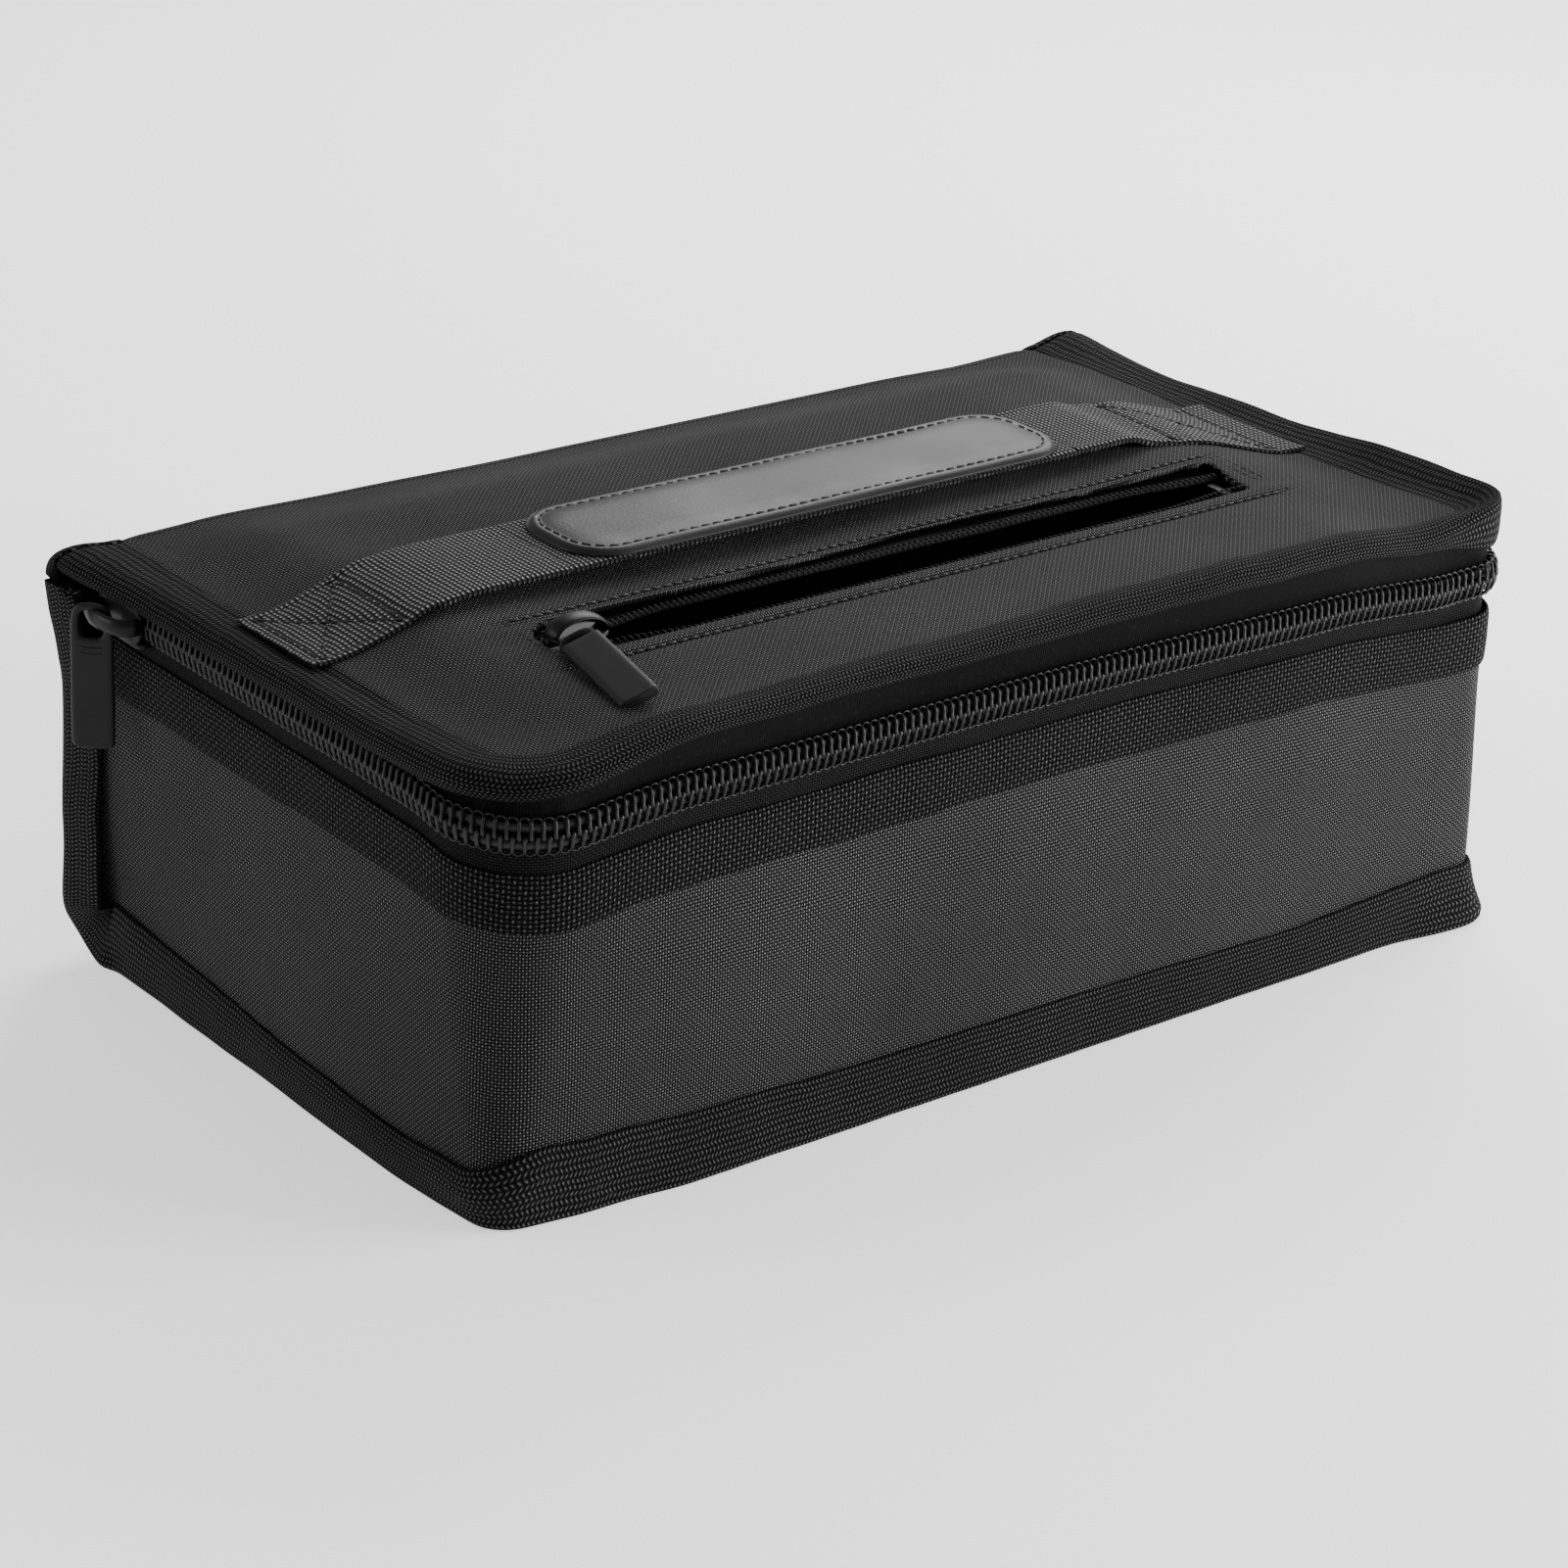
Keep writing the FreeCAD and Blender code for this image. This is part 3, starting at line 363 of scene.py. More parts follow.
def new_bmesh():
    bm = bmesh.new()
    bm.verts.layers.float.new("along")
    bm.verts.layers.float.new("across")
    return bm


def cloth_lengths(bm):
    """The layers that keep how far along and across the cloth each vertex lies."""
    layers = bm.verts.layers.float
    return layers["along"], layers["across"]


def extrude_chain(bm, chain, closed):
    """A new chain of vertices, extruded from the last one and in the same order."""
    pairs = list(zip(chain, chain[1:]))
    if closed:
        pairs.append((chain[-1], chain[0]))
    edges = [bm.edges.get(pair) for pair in pairs]
    made = bmesh.ops.extrude_edge_only(bm, edges=edges)["geom"]
    fresh = {item for item in made if isinstance(item, bmesh.types.BMVert)}
    following = {}
    for vert in fresh:
        for edge in vert.link_edges:
            other = edge.other_vert(vert)
            if other not in fresh:
                following[other] = vert
    return [following[vert] for vert in chain]


def sweep(bm, section, runs, place, closed=False):
    """Carries a section, a list of (out, up), along the runs. place(run, out, up, index) says where."""
    along, across = cloth_lengths(bm)
    widths = [0.0]
    for first, second in zip(section, section[1:]):
        widths.append(widths[-1] + math.dist(first, second))

    def settle(chain, run):
        for index, (vert, point) in enumerate(zip(chain, section)):
            vert.co = place(run, *point, index)
            vert[along] = run
            vert[across] = widths[index]

    chain = [bm.verts.new() for _ in section]
    for pair in zip(chain, chain[1:]):
        bm.edges.new(pair)
    if closed:
        bm.edges.new((chain[-1], chain[0]))
    settle(chain, runs[0])
    first = chain
    for run in runs[1:]:
        chain = extrude_chain(bm, chain, closed)
        settle(chain, run)
    if closed:
        bmesh.ops.contextual_create(bm, geom=first)
        bmesh.ops.contextual_create(bm, geom=chain)
    return bm


def spaced(start, end, pitch):
    """Evenly spaced numbers from start to end."""
    count = max(1, round(abs(end - start) / pitch))
    return [mix(start, end, step / count) for step in range(count + 1)]


# ---- the wall's path: left end, round the corner, front, round the corner, right end ---------

SIDE_RUN = 2 * HALF_DEPTH - CORNER
CORNER_RUN = CORNER * math.pi / 2
FRONT_RUN = 2 * (HALF_LENGTH - CORNER)
FRONT_START = SIDE_RUN + CORNER_RUN
FRONT_END = FRONT_START + FRONT_RUN
RIGHT_START = FRONT_END + CORNER_RUN
WHOLE_RUN = RIGHT_START + SIDE_RUN


def corner_radius(side, z):
    """The bag's upright corners are sharp at the foot and rounder at the zip."""
    foot, crown = (9, 20) if side < 0 else (4.5, 10.5)
    return mix(foot, crown, smooth((z - 0.008) / 0.058)) * MM


def corner_place(share, radius):
    """Place and facing angle, within a corner's square, at a share of the way round it."""
    straight = CORNER - radius
    bend = radius * math.pi / 2
    distance = share * (2 * straight + bend)
    if distance < straight:
        return (-CORNER, -distance), 0.0
    if distance > straight + bend:
        return (distance - bend - 2 * straight, -CORNER), math.pi / 2
    turned = (distance - straight) / radius
    return (-straight - radius * math.cos(turned), -straight - radius * math.sin(turned)), turned


def front_bow(x):
    """The zip and the lid's edge bow upwards along the front."""
    return along_points(((-0.132, 0.0), (-0.095, 2.7), (0.01, 3.4), (0.08, 2.6), (0.128, 0.0)), x) * MM


def side_bow(y):
    """The zip climbs along the end walls, from the front corners to the rear."""
    return along_points(((-0.076, 0.0), (-0.066, 0.6), (-0.05, 2.3), (-0.02, 2.8), (0.05, 3.1)), y) * MM


def wall_frame(run, z, radius=None):
    """x out of the wall, y along it, z up, at the wall's outer face."""
    turn_x, turn_y = HALF_LENGTH - CORNER, HALF_DEPTH - CORNER
    if run <= SIDE_RUN:
        spot, angle = (-HALF_LENGTH, HALF_DEPTH - run), math.pi
    elif run < FRONT_START:
        (a, b), turned = corner_place((run - SIDE_RUN) / CORNER_RUN, radius or corner_radius(-1, z))
        spot, angle = (-turn_x + a, -turn_y + b), math.pi + turned
    elif run <= FRONT_END:
        spot, angle = (-turn_x + run - FRONT_START, -HALF_DEPTH), math.pi * 1.5
    elif run < RIGHT_START:
        (a, b), turned = corner_place(1 - (run - FRONT_END) / CORNER_RUN, radius or corner_radius(1, z))
        spot, angle = (turn_x - a, -turn_y + b), math.pi * 2 - turned
    else:
        spot, angle = (HALF_LENGTH, -turn_y + run - RIGHT_START), math.pi * 2
    out = Vector((math.cos(angle), math.sin(angle), 0))
    rotation = Matrix((out, (-out.y, out.x, 0), (0, 0, 1))).transposed().to_4x4()
    lift = max(front_bow(spot[0]), side_bow(spot[1])) * smooth((z - 0.045) / 0.02)
    return Matrix.Translation((*spot, z + lift)) @ rotation


def on_wall(run, out, up, index=0):
    return wall_frame(run, up) @ Vector((out, 0, 0))


def wall_runs(rear, pitch, corner_steps=10):
    """Places along the wall's path for a piece whose rear ends lie at that depth."""
    start = HALF_DEPTH - rear
    runs = spaced(start, SIDE_RUN, pitch)
    runs += spaced(SIDE_RUN, FRONT_START, CORNER_RUN / corner_steps)[1:]
    runs += spaced(FRONT_START, FRONT_END, pitch)[1:]
    runs += spaced(FRONT_END, RIGHT_START, CORNER_RUN / corner_steps)[1:]
    runs += spaced(RIGHT_START, WHOLE_RUN - start, pitch)[1:]
    return runs


def ripple(bm, amount, size, seed=0.0):
    """Small soft unevenness, the same each time."""
    shift = Vector((seed, seed * 0.7, seed * 1.3))
    for vert in bm.verts:
        vert.co += noise.noise_vector(vert.co / size + shift) * amount


def map_cloth(bm):
    """Writes the UV map, in metres, from the lengths kept on the vertices."""
    along, across = cloth_lengths(bm)
    uv = bm.loops.layers.uv.new("cloth")
    for face in bm.faces:
        for loop in face.loops:
            loop[uv].uv = (loop.vert[along], loop.vert[across])


def make_piece(bm, name, material, body=None, thick=None, levels=0, clean=True):
    """Turns a bmesh into a finished piece, with its material, wall thickness and smoothing."""
    if clean:
        bmesh.ops.recalc_face_normals(bm, faces=bm.faces)
    for face in bm.faces:
        face.smooth = True
    mesh = bpy.data.meshes.new(name)
    bm.to_mesh(mesh)
    bm.free()
    mesh.materials.append(material)
    piece = bpy.data.objects.new(name, mesh)
    bpy.context.collection.objects.link(piece)
    if thick:
        wall = piece.modifiers.new("thickness", "SOLIDIFY")
        wall.thickness = thick
        wall.offset = -1
        wall.use_quality_normals = True
    if levels:
        soft = piece.modifiers.new("smoothing", "SUBSURF")
        soft.levels = levels
        soft.render_levels = levels
    if body:
        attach(piece, body)
    return piece


# ---- the lid's shape -------------------------------------------------------------------------

# Height of the lid's cloth where it meets its bound edge, along each side: the lid sags at the
# left and curls up along the front and towards the right-hand corner.
LEFT_EDGE = ((-0.080, 98.6), (-0.045, 96.8), (0.080, 96.2))
FRONT_EDGE = ((-0.140, 98.6), (-0.095, 102.6), (-0.03, 103.2), (0.03, 104.6), (0.085, 104.2),
              (0.115, 100.8), (0.140, 100.0))
RIGHT_EDGE = ((-0.080, 100.0), (-0.045, 98.2), (0.0, 97.2), (0.080, 97.2))
REAR_EDGE = ((-0.140, 97.0), (-0.11, 97.6), (-0.07, 97.0), (-0.03, 96.4), (0.08, 96.2), (0.12, 95.2),
             (0.140, 95.8))
MIDDLE = LID_LEVEL + CROWN + 0.4 * MM


def lid_height(x, y):
    """Top of the lid's cloth."""
    reach = 26 * MM
    sides = (
        (x + HALF_LENGTH - EDGE_COVER, reach, along_points(LEFT_EDGE, y)),
        (HALF_LENGTH - EDGE_COVER - x, reach, along_points(RIGHT_EDGE, y)),
        (y + HALF_DEPTH - 5 * MM, 1.5 * reach, along_points(FRONT_EDGE, x)),
        (LID_REAR - y, reach, along_points(REAR_EDGE, x)))
    total = shares = squares = 0.0
    for distance, span, height in sides:
        share = 1 - smooth(distance / span)
        total += share * (height * MM - MIDDLE)
        shares += share
        squares += share * share
    both = (shares * shares - squares) / 2
    sag = noise.noise(Vector((x, y, 0)) / 0.045) * 0.5 * MM * (1 - min(1.0, shares))
    return MIDDLE + total / (1 + both) + sag + strap_pull(x, y)


def strap_pull(x, y):
    """The carry strap draws the lid up a little beside each of its sewn ends."""
    pulled = 0.0
    for centre, amount in ((-0.106, 1.7), (0.090, 1.2)):
        distance = math.hypot((x - centre) / 0.022, (y - STRAP_Y) / 0.026)
        pulled += amount * MM * math.exp(-distance * distance)
    return pulled


# The bound edge's section at places along the wall's path, from the cloth outwards and down to
# its lip: (out from the wall's face, height), in millimetres.
LID_SECTIONS = (
    (0.006, ((-10, 0), (-6, 96.4), (-2, 97.4), (2, 97.6), (5.2, 97.0), (7.2, 95.9), (7.8, 94.7),
             (7.2, 93.4), (6.0, 92.6))),
    (0.034, ((-10, 0), (-6.4, 96.0), (-3, 96.8), (0.4, 96.6), (2.7, 95.7), (4.0, 94.2), (4.2, 93.0),
             (3.7, 91.8), (2.7, 91.2))),
    (SIDE_RUN - 0.030, ((-10, 0), (-6.5, 95.9), (-3, 96.7), (0, 96.5), (1.9, 95.5), (2.8, 94.0),
                        (2.9, 92.8), (2.5, 91.5), (1.6, 91.0))),
    (SIDE_RUN + CORNER_RUN / 2, ((-9, 0), (-6, 98.6), (-3, 98.9), (0, 98.4), (2, 97.3), (2.9, 96.0),
                                 (3, 94.8), (2.5, 93.6), (1.6, 93.1))),
    (FRONT_START + 0.030, ((-6, 0), (-4, 103.5), (-2, 103.8), (0.2, 103.6), (1.9, 102.9), (2.8, 102.0),
                           (3.1, 101.1), (2.8, 100.2), (2.0, 99.8))),
    (FRONT_START + 0.085, ((-6, 0), (-4, 104.0), (-2, 104.4), (0.2, 104.2), (1.9, 103.4), (2.8, 102.4),
                           (3.1, 101.5), (2.8, 100.6), (2.0, 100.2))),
    (FRONT_START + 0.150, ((-5, 0), (-3.4, 105.3), (-1.6, 105.7), (0.3, 105.3), (1.8, 104.4), (2.7, 103.2),
                           (3.1, 102.0), (2.9, 100.9), (2.2, 100.4))),
    (FRONT_START + 0.205, ((-5, 0), (-3.4, 104.9), (-1.6, 105.4), (0.3, 105.0), (1.8, 104.0), (2.6, 102.7),
                           (3.0, 101.4), (2.8, 100.2), (2.1, 99.6))),
    (FRONT_END - 0.008, ((-6, 0), (-4.5, 101.6), (-2.8, 102.3), (-1, 102.2), (0.6, 101.3), (1.6, 100.0),
                         (2.0, 98.6), (2.0, 97.3), (1.5, 96.5))),
    (FRONT_END + CORNER_RUN / 2, ((-10, 0), (-6.6, 100.1), (-3.6, 101.8), (-1.2, 103.9), (0.1, 104.9),
                                  (1.0, 103.6), (1.1, 100), (1.0, 96), (0.4, 92.6))),
    (RIGHT_START + 0.012, ((-10, 0), (-7, 98.8), (-3.5, 100.2), (0.3, 102.2), (2.0, 103.2), (2.9, 102.4),
                           (2.9, 100.9), (2.4, 98.4), (1.6, 95.6))),
    (RIGHT_START + 0.062, ((-10, 0), (-7, 97.2), (-3.5, 97.8), (0.4, 98.9), (2.4, 99.5), (3.3, 98.9),
                           (3.5, 97.6), (3.1, 96.0), (2.3, 94.8))),
    (RIGHT_START + 0.102, ((-10, 0), (-7, 97.3), (-3.5, 97.5), (0.3, 98.0), (2.3, 98.1), (3.3, 97.2),
                           (3.4, 95.9), (3.0, 94.8), (2.3, 94.0))),
    (RIGHT_START + 0.134, ((-10, 0), (-6.5, 96.8), (-2.5, 98.2), (1.6, 99.0), (4.6, 98.8), (6.4, 97.8),
                           (6.8, 96.4), (6.4, 95.2), (5.4, 94.4))),
)


def lid_section(run, index):
    """A point of the lid's bound edge: (out, height)."""
    places = [(place, section[index][0]) for place, section in LID_SECTIONS]
    heights = [(place, section[index][1]) for place, section in LID_SECTIONS]
    return along_points(places, run) * MM, along_points(heights, run) * MM


def on_lid_edge(run, out, up, index):
    """Where a point of the bound edge's section lies; its first point is on the lid's cloth."""
    out, height = lid_section(run, index)
    flat = wall_frame(run, LID_LEVEL) @ Vector((out, 0, 0))
    if index == 0:
        height = lid_height(flat.x, flat.y) + 0.2 * MM
    return Vector((flat.x, flat.y, height))


# ---- walls, back and base --------------------------------------------------------------------

def rear_foot(y):
    """Height at which the walls are cut to clear the bend at the rear foot."""
    past = y - HALF_DEPTH + BEND
    deep = BEND - 2 * MM
    return BEND - math.sqrt(max(0.0, deep * deep - past * past)) if past > 0 else 0.0


def make_walls():
    """Outer cloth of the end walls and the front, with the foam's soft fullness behind it."""
    top = high("wall_fabric").z
    foot = low("wall_fabric").z
    section = [(0.0, up) for up in spaced(foot + 7 * MM, top, 5.5 * MM)]

    def fullness(run, out, up, index):
        spot = wall_frame(run, up).translation
        room = min(1.0, (HALF_LENGTH - abs(spot.x)) / 0.05 + (HALF_DEPTH - abs(spot.y)) / 0.05)
        height = math.sin(math.pi * clamp((up - foot) / (top - foot)))
        return on_wall(run, (0.1 + 0.9 * room) * MM * height, max(up, rear_foot(spot.y)))

    bm = sweep(new_bmesh(), section, wall_runs(HALF_DEPTH - 1.3 * MM, 5 * MM, 16), fullness)
    ripple(bm, 0.35 * MM, 0.03)
    map_cloth(bm)
    piece = make_piece(bm, "wall_cloth", OXFORD, "case", thick=FABRIC, levels=1)
    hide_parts("wall_fabric")


# Lengths of the flat base, front to rear, and of the bend at the rear foot.
BASE_RUN = 2 * HALF_DEPTH - BEND
BEND_RUN = BEND * math.pi / 2


def rear_bend(run):
    """Along the base from the front, round the bend at the rear foot and up the back: (y, z, turned)."""
    if run < BASE_RUN:
        return run - HALF_DEPTH, 0.0, 0.0
    if run < BASE_RUN + BEND_RUN:
        turned = (run - BASE_RUN) / BEND
        return HALF_DEPTH - BEND + BEND * math.sin(turned), BEND - BEND * math.cos(turned), turned
    return HALF_DEPTH, BEND + run - BASE_RUN - BEND_RUN, math.pi / 2


def make_back_and_base():
    """Outer cloth of the base, the bend at the rear foot and the back, in one sheet."""
    bent = BASE_RUN + BEND_RUN
    whole = bent + BACK_TOP - BEND
    section = [(share, 0.0) for share in spaced(-1, 1, 0.04)]

    def settle(run, share, up, index):
        y, z, turned = rear_bend(run)
        half = HALF_LENGTH - mix(2.5, 0.2, turned / (math.pi / 2)) * MM
        front = HALF_DEPTH + y
        sharp = 14 * MM
        if front < sharp and z < MM:
            half += math.sqrt(max(0.0, sharp ** 2 - (sharp - front) ** 2)) - sharp
        full = math.sin(math.pi * clamp((z - BEND) / (BACK_TOP - BEND))) * (1 - share ** 4)
        back = 0.9 * MM * full + noise.noise(Vector((share, z / 0.1, 0)) * 3) * 0.3 * MM * full
        foot = 0.3 * MM * math.cos(turned)
        return Vector((share * half, y + back, z + foot))

    runs = spaced(0, BASE_RUN, 6 * MM) + spaced(BASE_RUN, bent, 3 * MM)[1:]
    runs += spaced(bent, whole, 5 * MM)[1:]
    bm = sweep(new_bmesh(), section, runs, settle)
    across = bm.verts.layers.float["across"]
    for vert in bm.verts:
        vert[across] *= HALF_LENGTH
    map_cloth(bm)
    piece = make_piece(bm, "back_and_base_cloth", OXFORD, "case", thick=0.9 * MM, levels=1)
    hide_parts("back_base_fabric")


def make_band():
    """The twill band sewn round the walls below the zip."""
    section = [(0.35 * MM, BAND_LOW), (1.0 * MM, BAND_LOW + 0.5 * MM), (1.1 * MM, BAND_LOW + 4 * MM),
               (1.1 * MM, BAND_TOP - 4 * MM), (0.95 * MM, BAND_TOP - 0.6 * MM), (0.3 * MM, BAND_TOP)]
    bm = sweep(new_bmesh(), section, wall_runs(high("wall_band").y, 4 * MM), on_wall)
    ripple(bm, 0.3 * MM, 0.012, 3.0)
    map_cloth(bm)
    piece = make_piece(bm, "wall_band_tape", BAND, "case", thick=0.6 * MM, levels=1)
    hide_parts("wall_band")


# Height of the seam above the foot along the wall's path.
SEAM = ((0.010, 17.4), (0.051, 15.3), (0.090, 12.2), (0.126, 11.2), (SIDE_RUN + 0.008, 13.0),
        (FRONT_START - 0.008, 19.0), (FRONT_START + 0.006, 17.4), (FRONT_START + 0.031, 15.7),
        (FRONT_START + 0.083, 13.9), (FRONT_START + 0.138, 13.5), (FRONT_START + 0.198, 12.2),
        (FRONT_START + 0.248, 14.3))


# How far the bound rear edges stand out beyond the walls, by height, in millimetres.
FLARE = ((0.002, -0.6), (0.012, 3.2), (0.034, 2.3), (0.050, 1.4), (0.064, 1.3), (0.075, 3.6),
         (0.085, 5.6), (0.097, 8.2))

# How far the rolled foot is drawn in or let out along the wall's path, in millimetres.
FOOT_TUCK = ((SIDE_RUN - 0.012, -2.2), (SIDE_RUN + CORNER_RUN / 2, -4.2), (FRONT_START + 0.004, -2.0),
             (FRONT_START + 0.03, 0.0), (FRONT_END - 0.01, 0.0), (FRONT_END + 0.01, 2.6),
             (RIGHT_START + 0.01, 2.0), (RIGHT_START + 0.04, 0.0))


def make_edge_binding():
    """One bound edge: down the left rear edge, round the foot, and up the right rear edge."""
    top = high("rear_binding_left").z
    tail = top - BEND + BEND_RUN
    foot = wall_runs(HALF_DEPTH - BEND, 4 * MM, 12)
    start, end = foot[0], foot[-1]
    whole = tail + end - start + tail
    # the rolled edge stands out, the tape's two sides lie on the wall and on the base or back
    section = [(0.2, 15.6), (0.9, 15.8), (1.6, 15.0), (2.0, 11.5), (2.6, 7.5), (3.1, 3.6), (3.4, 1.8),
               (3.1, 0.6), (2.2, 0.0), (0.0, 0.0), (-4.5, 0.0), (-9.0, 0.0), (-9.8, 0.3), (-9.0, 0.7),
               (-4.0, 0.8), (0.2, 1.2), (0.6, 5.0), (0.2, 9.0)]
    section = [(out * MM, up * MM) for out, up in section]

    def settle(run, out, up, index):
        if tail <= run <= whole - tail:
            wall = run - tail + start
            low_down = 1 - smooth((up - 0.001) / 0.010)
            place = on_wall(wall, out + along_points(FOOT_TUCK, wall) * MM * low_down, 0)
            return Vector((place.x, place.y, up * along_points(SEAM, wall) / 15.8))
        side = -1 if run < tail else 1
        distance = run if run < tail else whole - run
        y, z, turned = rear_bend(BASE_RUN + BEND_RUN + top - BEND - distance)
        inward = Vector((0, -math.sin(turned), math.cos(turned)))
        rise = smooth((z - 0.01) / 0.03)
        spread = along_points(FLARE, z) * MM * smooth((up + 0.002) / 0.006) if out > 0.1 * MM else 0
        if side > 0:
            spread = max(0.0, spread) * 0.6
        if index in range(7, 14):
            up -= 0.9 * MM * rise
        width = mix(1.0, 0.86, rise) if up > 0 else 1.0
        return Vector((side * (HALF_LENGTH + out + spread), y, z)) + inward * up * width

    runs = spaced(0, top - BEND, 4 * MM) + spaced(top - BEND, tail, 2.5 * MM)[1:]
    runs += [tail + run - start for run in foot[1:]]
    runs += [whole - run for run in reversed(runs[:runs.index(tail)])]
    bm = sweep(new_bmesh(), section, runs, settle, closed=True)
    for vert in bm.verts:
        push = noise.noise_vector(vert.co / 0.011) * 0.35 * MM
        if vert.co.z < 3 * MM:
            push.z = 0
        vert.co += push
    map_cloth(bm)
    piece = make_piece(bm, "edge_binding", BINDING, "case", levels=1)
    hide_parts("base_binding", "rear_binding_left", "rear_binding_right")


# ---- main zip --------------------------------------------------------------------------------

def zip_tuck(run):
    """The zip lies a little deeper round the right-hand corner."""
    return along_points(((FRONT_END - 0.008, 0.0), (FRONT_END + 0.006, -1.25), (RIGHT_START, -1.25),
                         (RIGHT_START + 0.02, 0.0)), run) * MM


def make_zip_tapes():
    """The main zip's tapes, below the chain on the case and above it on the lid."""
    section = [(-0.5, 66), (-0.1, 72), (0.15, 77.5), (0.25, 80.5), (0.1, 84.3)]
    section = [(out * MM, up * MM) for out, up in section]

    def below(run, out, up, index):
        return on_wall(run, out + zip_tuck(run) * smooth((up - 0.070) / 0.008), up)

    bm = sweep(new_bmesh(), section, wall_runs(high("zip_tape_lower").y, 5 * MM), below)
    ripple(bm, 0.15 * MM, 0.02, 5.0)
    map_cloth(bm)
    piece = make_piece(bm, "zip_tape_below", SHEER, "case", thick=0.7 * MM, levels=1)
    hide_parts("zip_tape_lower")

    bottom = low("zip_tape_upper").z
    section = [(0.1 * MM, share) for share in spaced(0, 1, 0.2)]

    def reach_up(run, out, share, index):
        """From the chain up to the inside of the bound edge's lip."""
        lip_out, lip = lid_section(run, 6)
        foot = wall_frame(run, bottom)
        start = foot @ Vector((out + zip_tuck(run), 0, 0))
        end = foot @ Vector((lip_out - 1.9 * MM, 0, 0))
        end.z = lip
        return start.lerp(end, share)

    bm = sweep(new_bmesh(), section, wall_runs(LID_REAR, 5 * MM), reach_up)
    map_cloth(bm)
    piece = make_piece(bm, "zip_tape_above", SHEER, "lid", thick=0.6 * MM, levels=1)
    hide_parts("zip_tape_upper")


PITCH = 2.12 * MM


def wire(bm, path, radius, sides=6):
    """A bent wire through (point, thickness) pairs."""
    rings = []
    for index, (point, thick) in enumerate(path):
        before = Vector(path[max(0, index - 1)][0])
        after = Vector(path[min(len(path) - 1, index + 1)][0])
        turn = (after - before).to_track_quat("Z", "Y").to_matrix().to_4x4()
        made = bmesh.ops.create_circle(bm, segments=sides, radius=radius * thick, cap_ends=False,
                                       matrix=Matrix.Translation(point) @ turn)
        rings.append([edge for edge in bm.edges if all(vert in made["verts"] for vert in edge.verts)])
    for first, second in zip(rings, rings[1:]):
        bmesh.ops.bridge_loops(bm, edges=first + second)
    bmesh.ops.contextual_create(bm, geom=rings[0])
    bmesh.ops.contextual_create(bm, geom=rings[-1])
    bmesh.ops.recalc_face_normals(bm, faces=bm.faces)


def kept_mesh(bm, name):
    mesh = bpy.data.meshes.new(name)
    bm.to_mesh(mesh)
    bm.free()
    return mesh


def zip_tooth(way):
    """One turn of the coil: out of the tape, over a bend and along to its head at the middle."""
    path = [((0.3, 0, -3.4), 0.85), ((1.3, 0, -3.45), 0.9), ((2.0, 0, -3.0), 0.95),
            ((2.3, 0, -2.0), 1.1), ((2.4, 0, -0.8), 1.15), ((2.5, 0.12, -0.1), 1.5),
            ((2.15, 0.2, 0.45), 1.1)]
    path = [(Vector(point) * MM, thick) for point, thick in path]
    if way < 0:
        path = [(Vector((point.x, point.y, -point.z)), thick) for point, thick in path]
    bm = bmesh.new()
    wire(bm, path, 0.40 * MM)
    return kept_mesh(bm, "tooth")


def cord_loop(way):
    """One scallop of the cord that sews the coil down, from foot to foot."""
    bm = bmesh.new()
    path = [((1.5, -0.1, -3.3), 1.0), ((1.45, 0.7, -3.95), 1.1), ((1.45, 1.4, -3.95), 1.1),
            ((1.5, 2.2, -3.3), 1.0)]
    path = [(Vector((out, along, up * way)) * MM, thick) for (out, along, up), thick in path]
    wire(bm, path, 0.22 * MM, sides=5)
    return kept_mesh(bm, "cord")


def add_copies(bm, mesh, places):
    for place in places:
        start = len(bm.verts)
        bm.from_mesh(mesh)
        bm.verts.ensure_lookup_table()
        bmesh.ops.transform(bm, matrix=place, verts=bm.verts[start:])


def add_filler(bm, start, way):
    """The filler cord that runs through the coil's turns."""
    section = []
    for step in range(8):
        turned = 2 * math.pi * step / 8
        section.append(((1.15 + 0.7 * math.cos(turned)) * MM, (1.1 * math.sin(turned) - 1.8) * way * MM))

    def inside(run, out, up, index):
        return wall_frame(run, CHAIN) @ Vector((out + zip_tuck(run), 0, up))

    filler = sweep(new_bmesh(), section, wall_runs(HALF_DEPTH - start, 4 * MM), inside, closed=True)
    bmesh.ops.recalc_face_normals(filler, faces=filler.faces)
    add_copies(bm, kept_mesh(filler, "filler"), [Matrix.Identity(4)])


def make_coils():
    """The main zip's two coils: turns, the cord that sews them down and the filler inside."""
    start = HALF_DEPTH - high("zip_coil_lower").y
    count = int((WHOLE_RUN - 2 * start) / PITCH)
    for name, body, way in (("zip_coil_lower", "case", 1), ("zip_coil_upper", "lid", -1)):
        tooth = zip_tooth(way)
        cord = cord_loop(way)
        bm = bmesh.new()
        shift = 0.25 if way > 0 else 0.75
        stations = []
        for index in range(count):
            run = start + (index + shift) * PITCH
            stations.append(wall_frame(run, CHAIN) @ Matrix.Translation((zip_tuck(run), 0, 0)))
        add_copies(bm, tooth, stations)
        add_copies(bm, cord, stations)
        add_filler(bm, start, way)
        piece = make_piece(bm, f"{name}_teeth", COIL, body, clean=False)
        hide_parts(name)


# ---- lid -------------------------------------------------------------------------------------

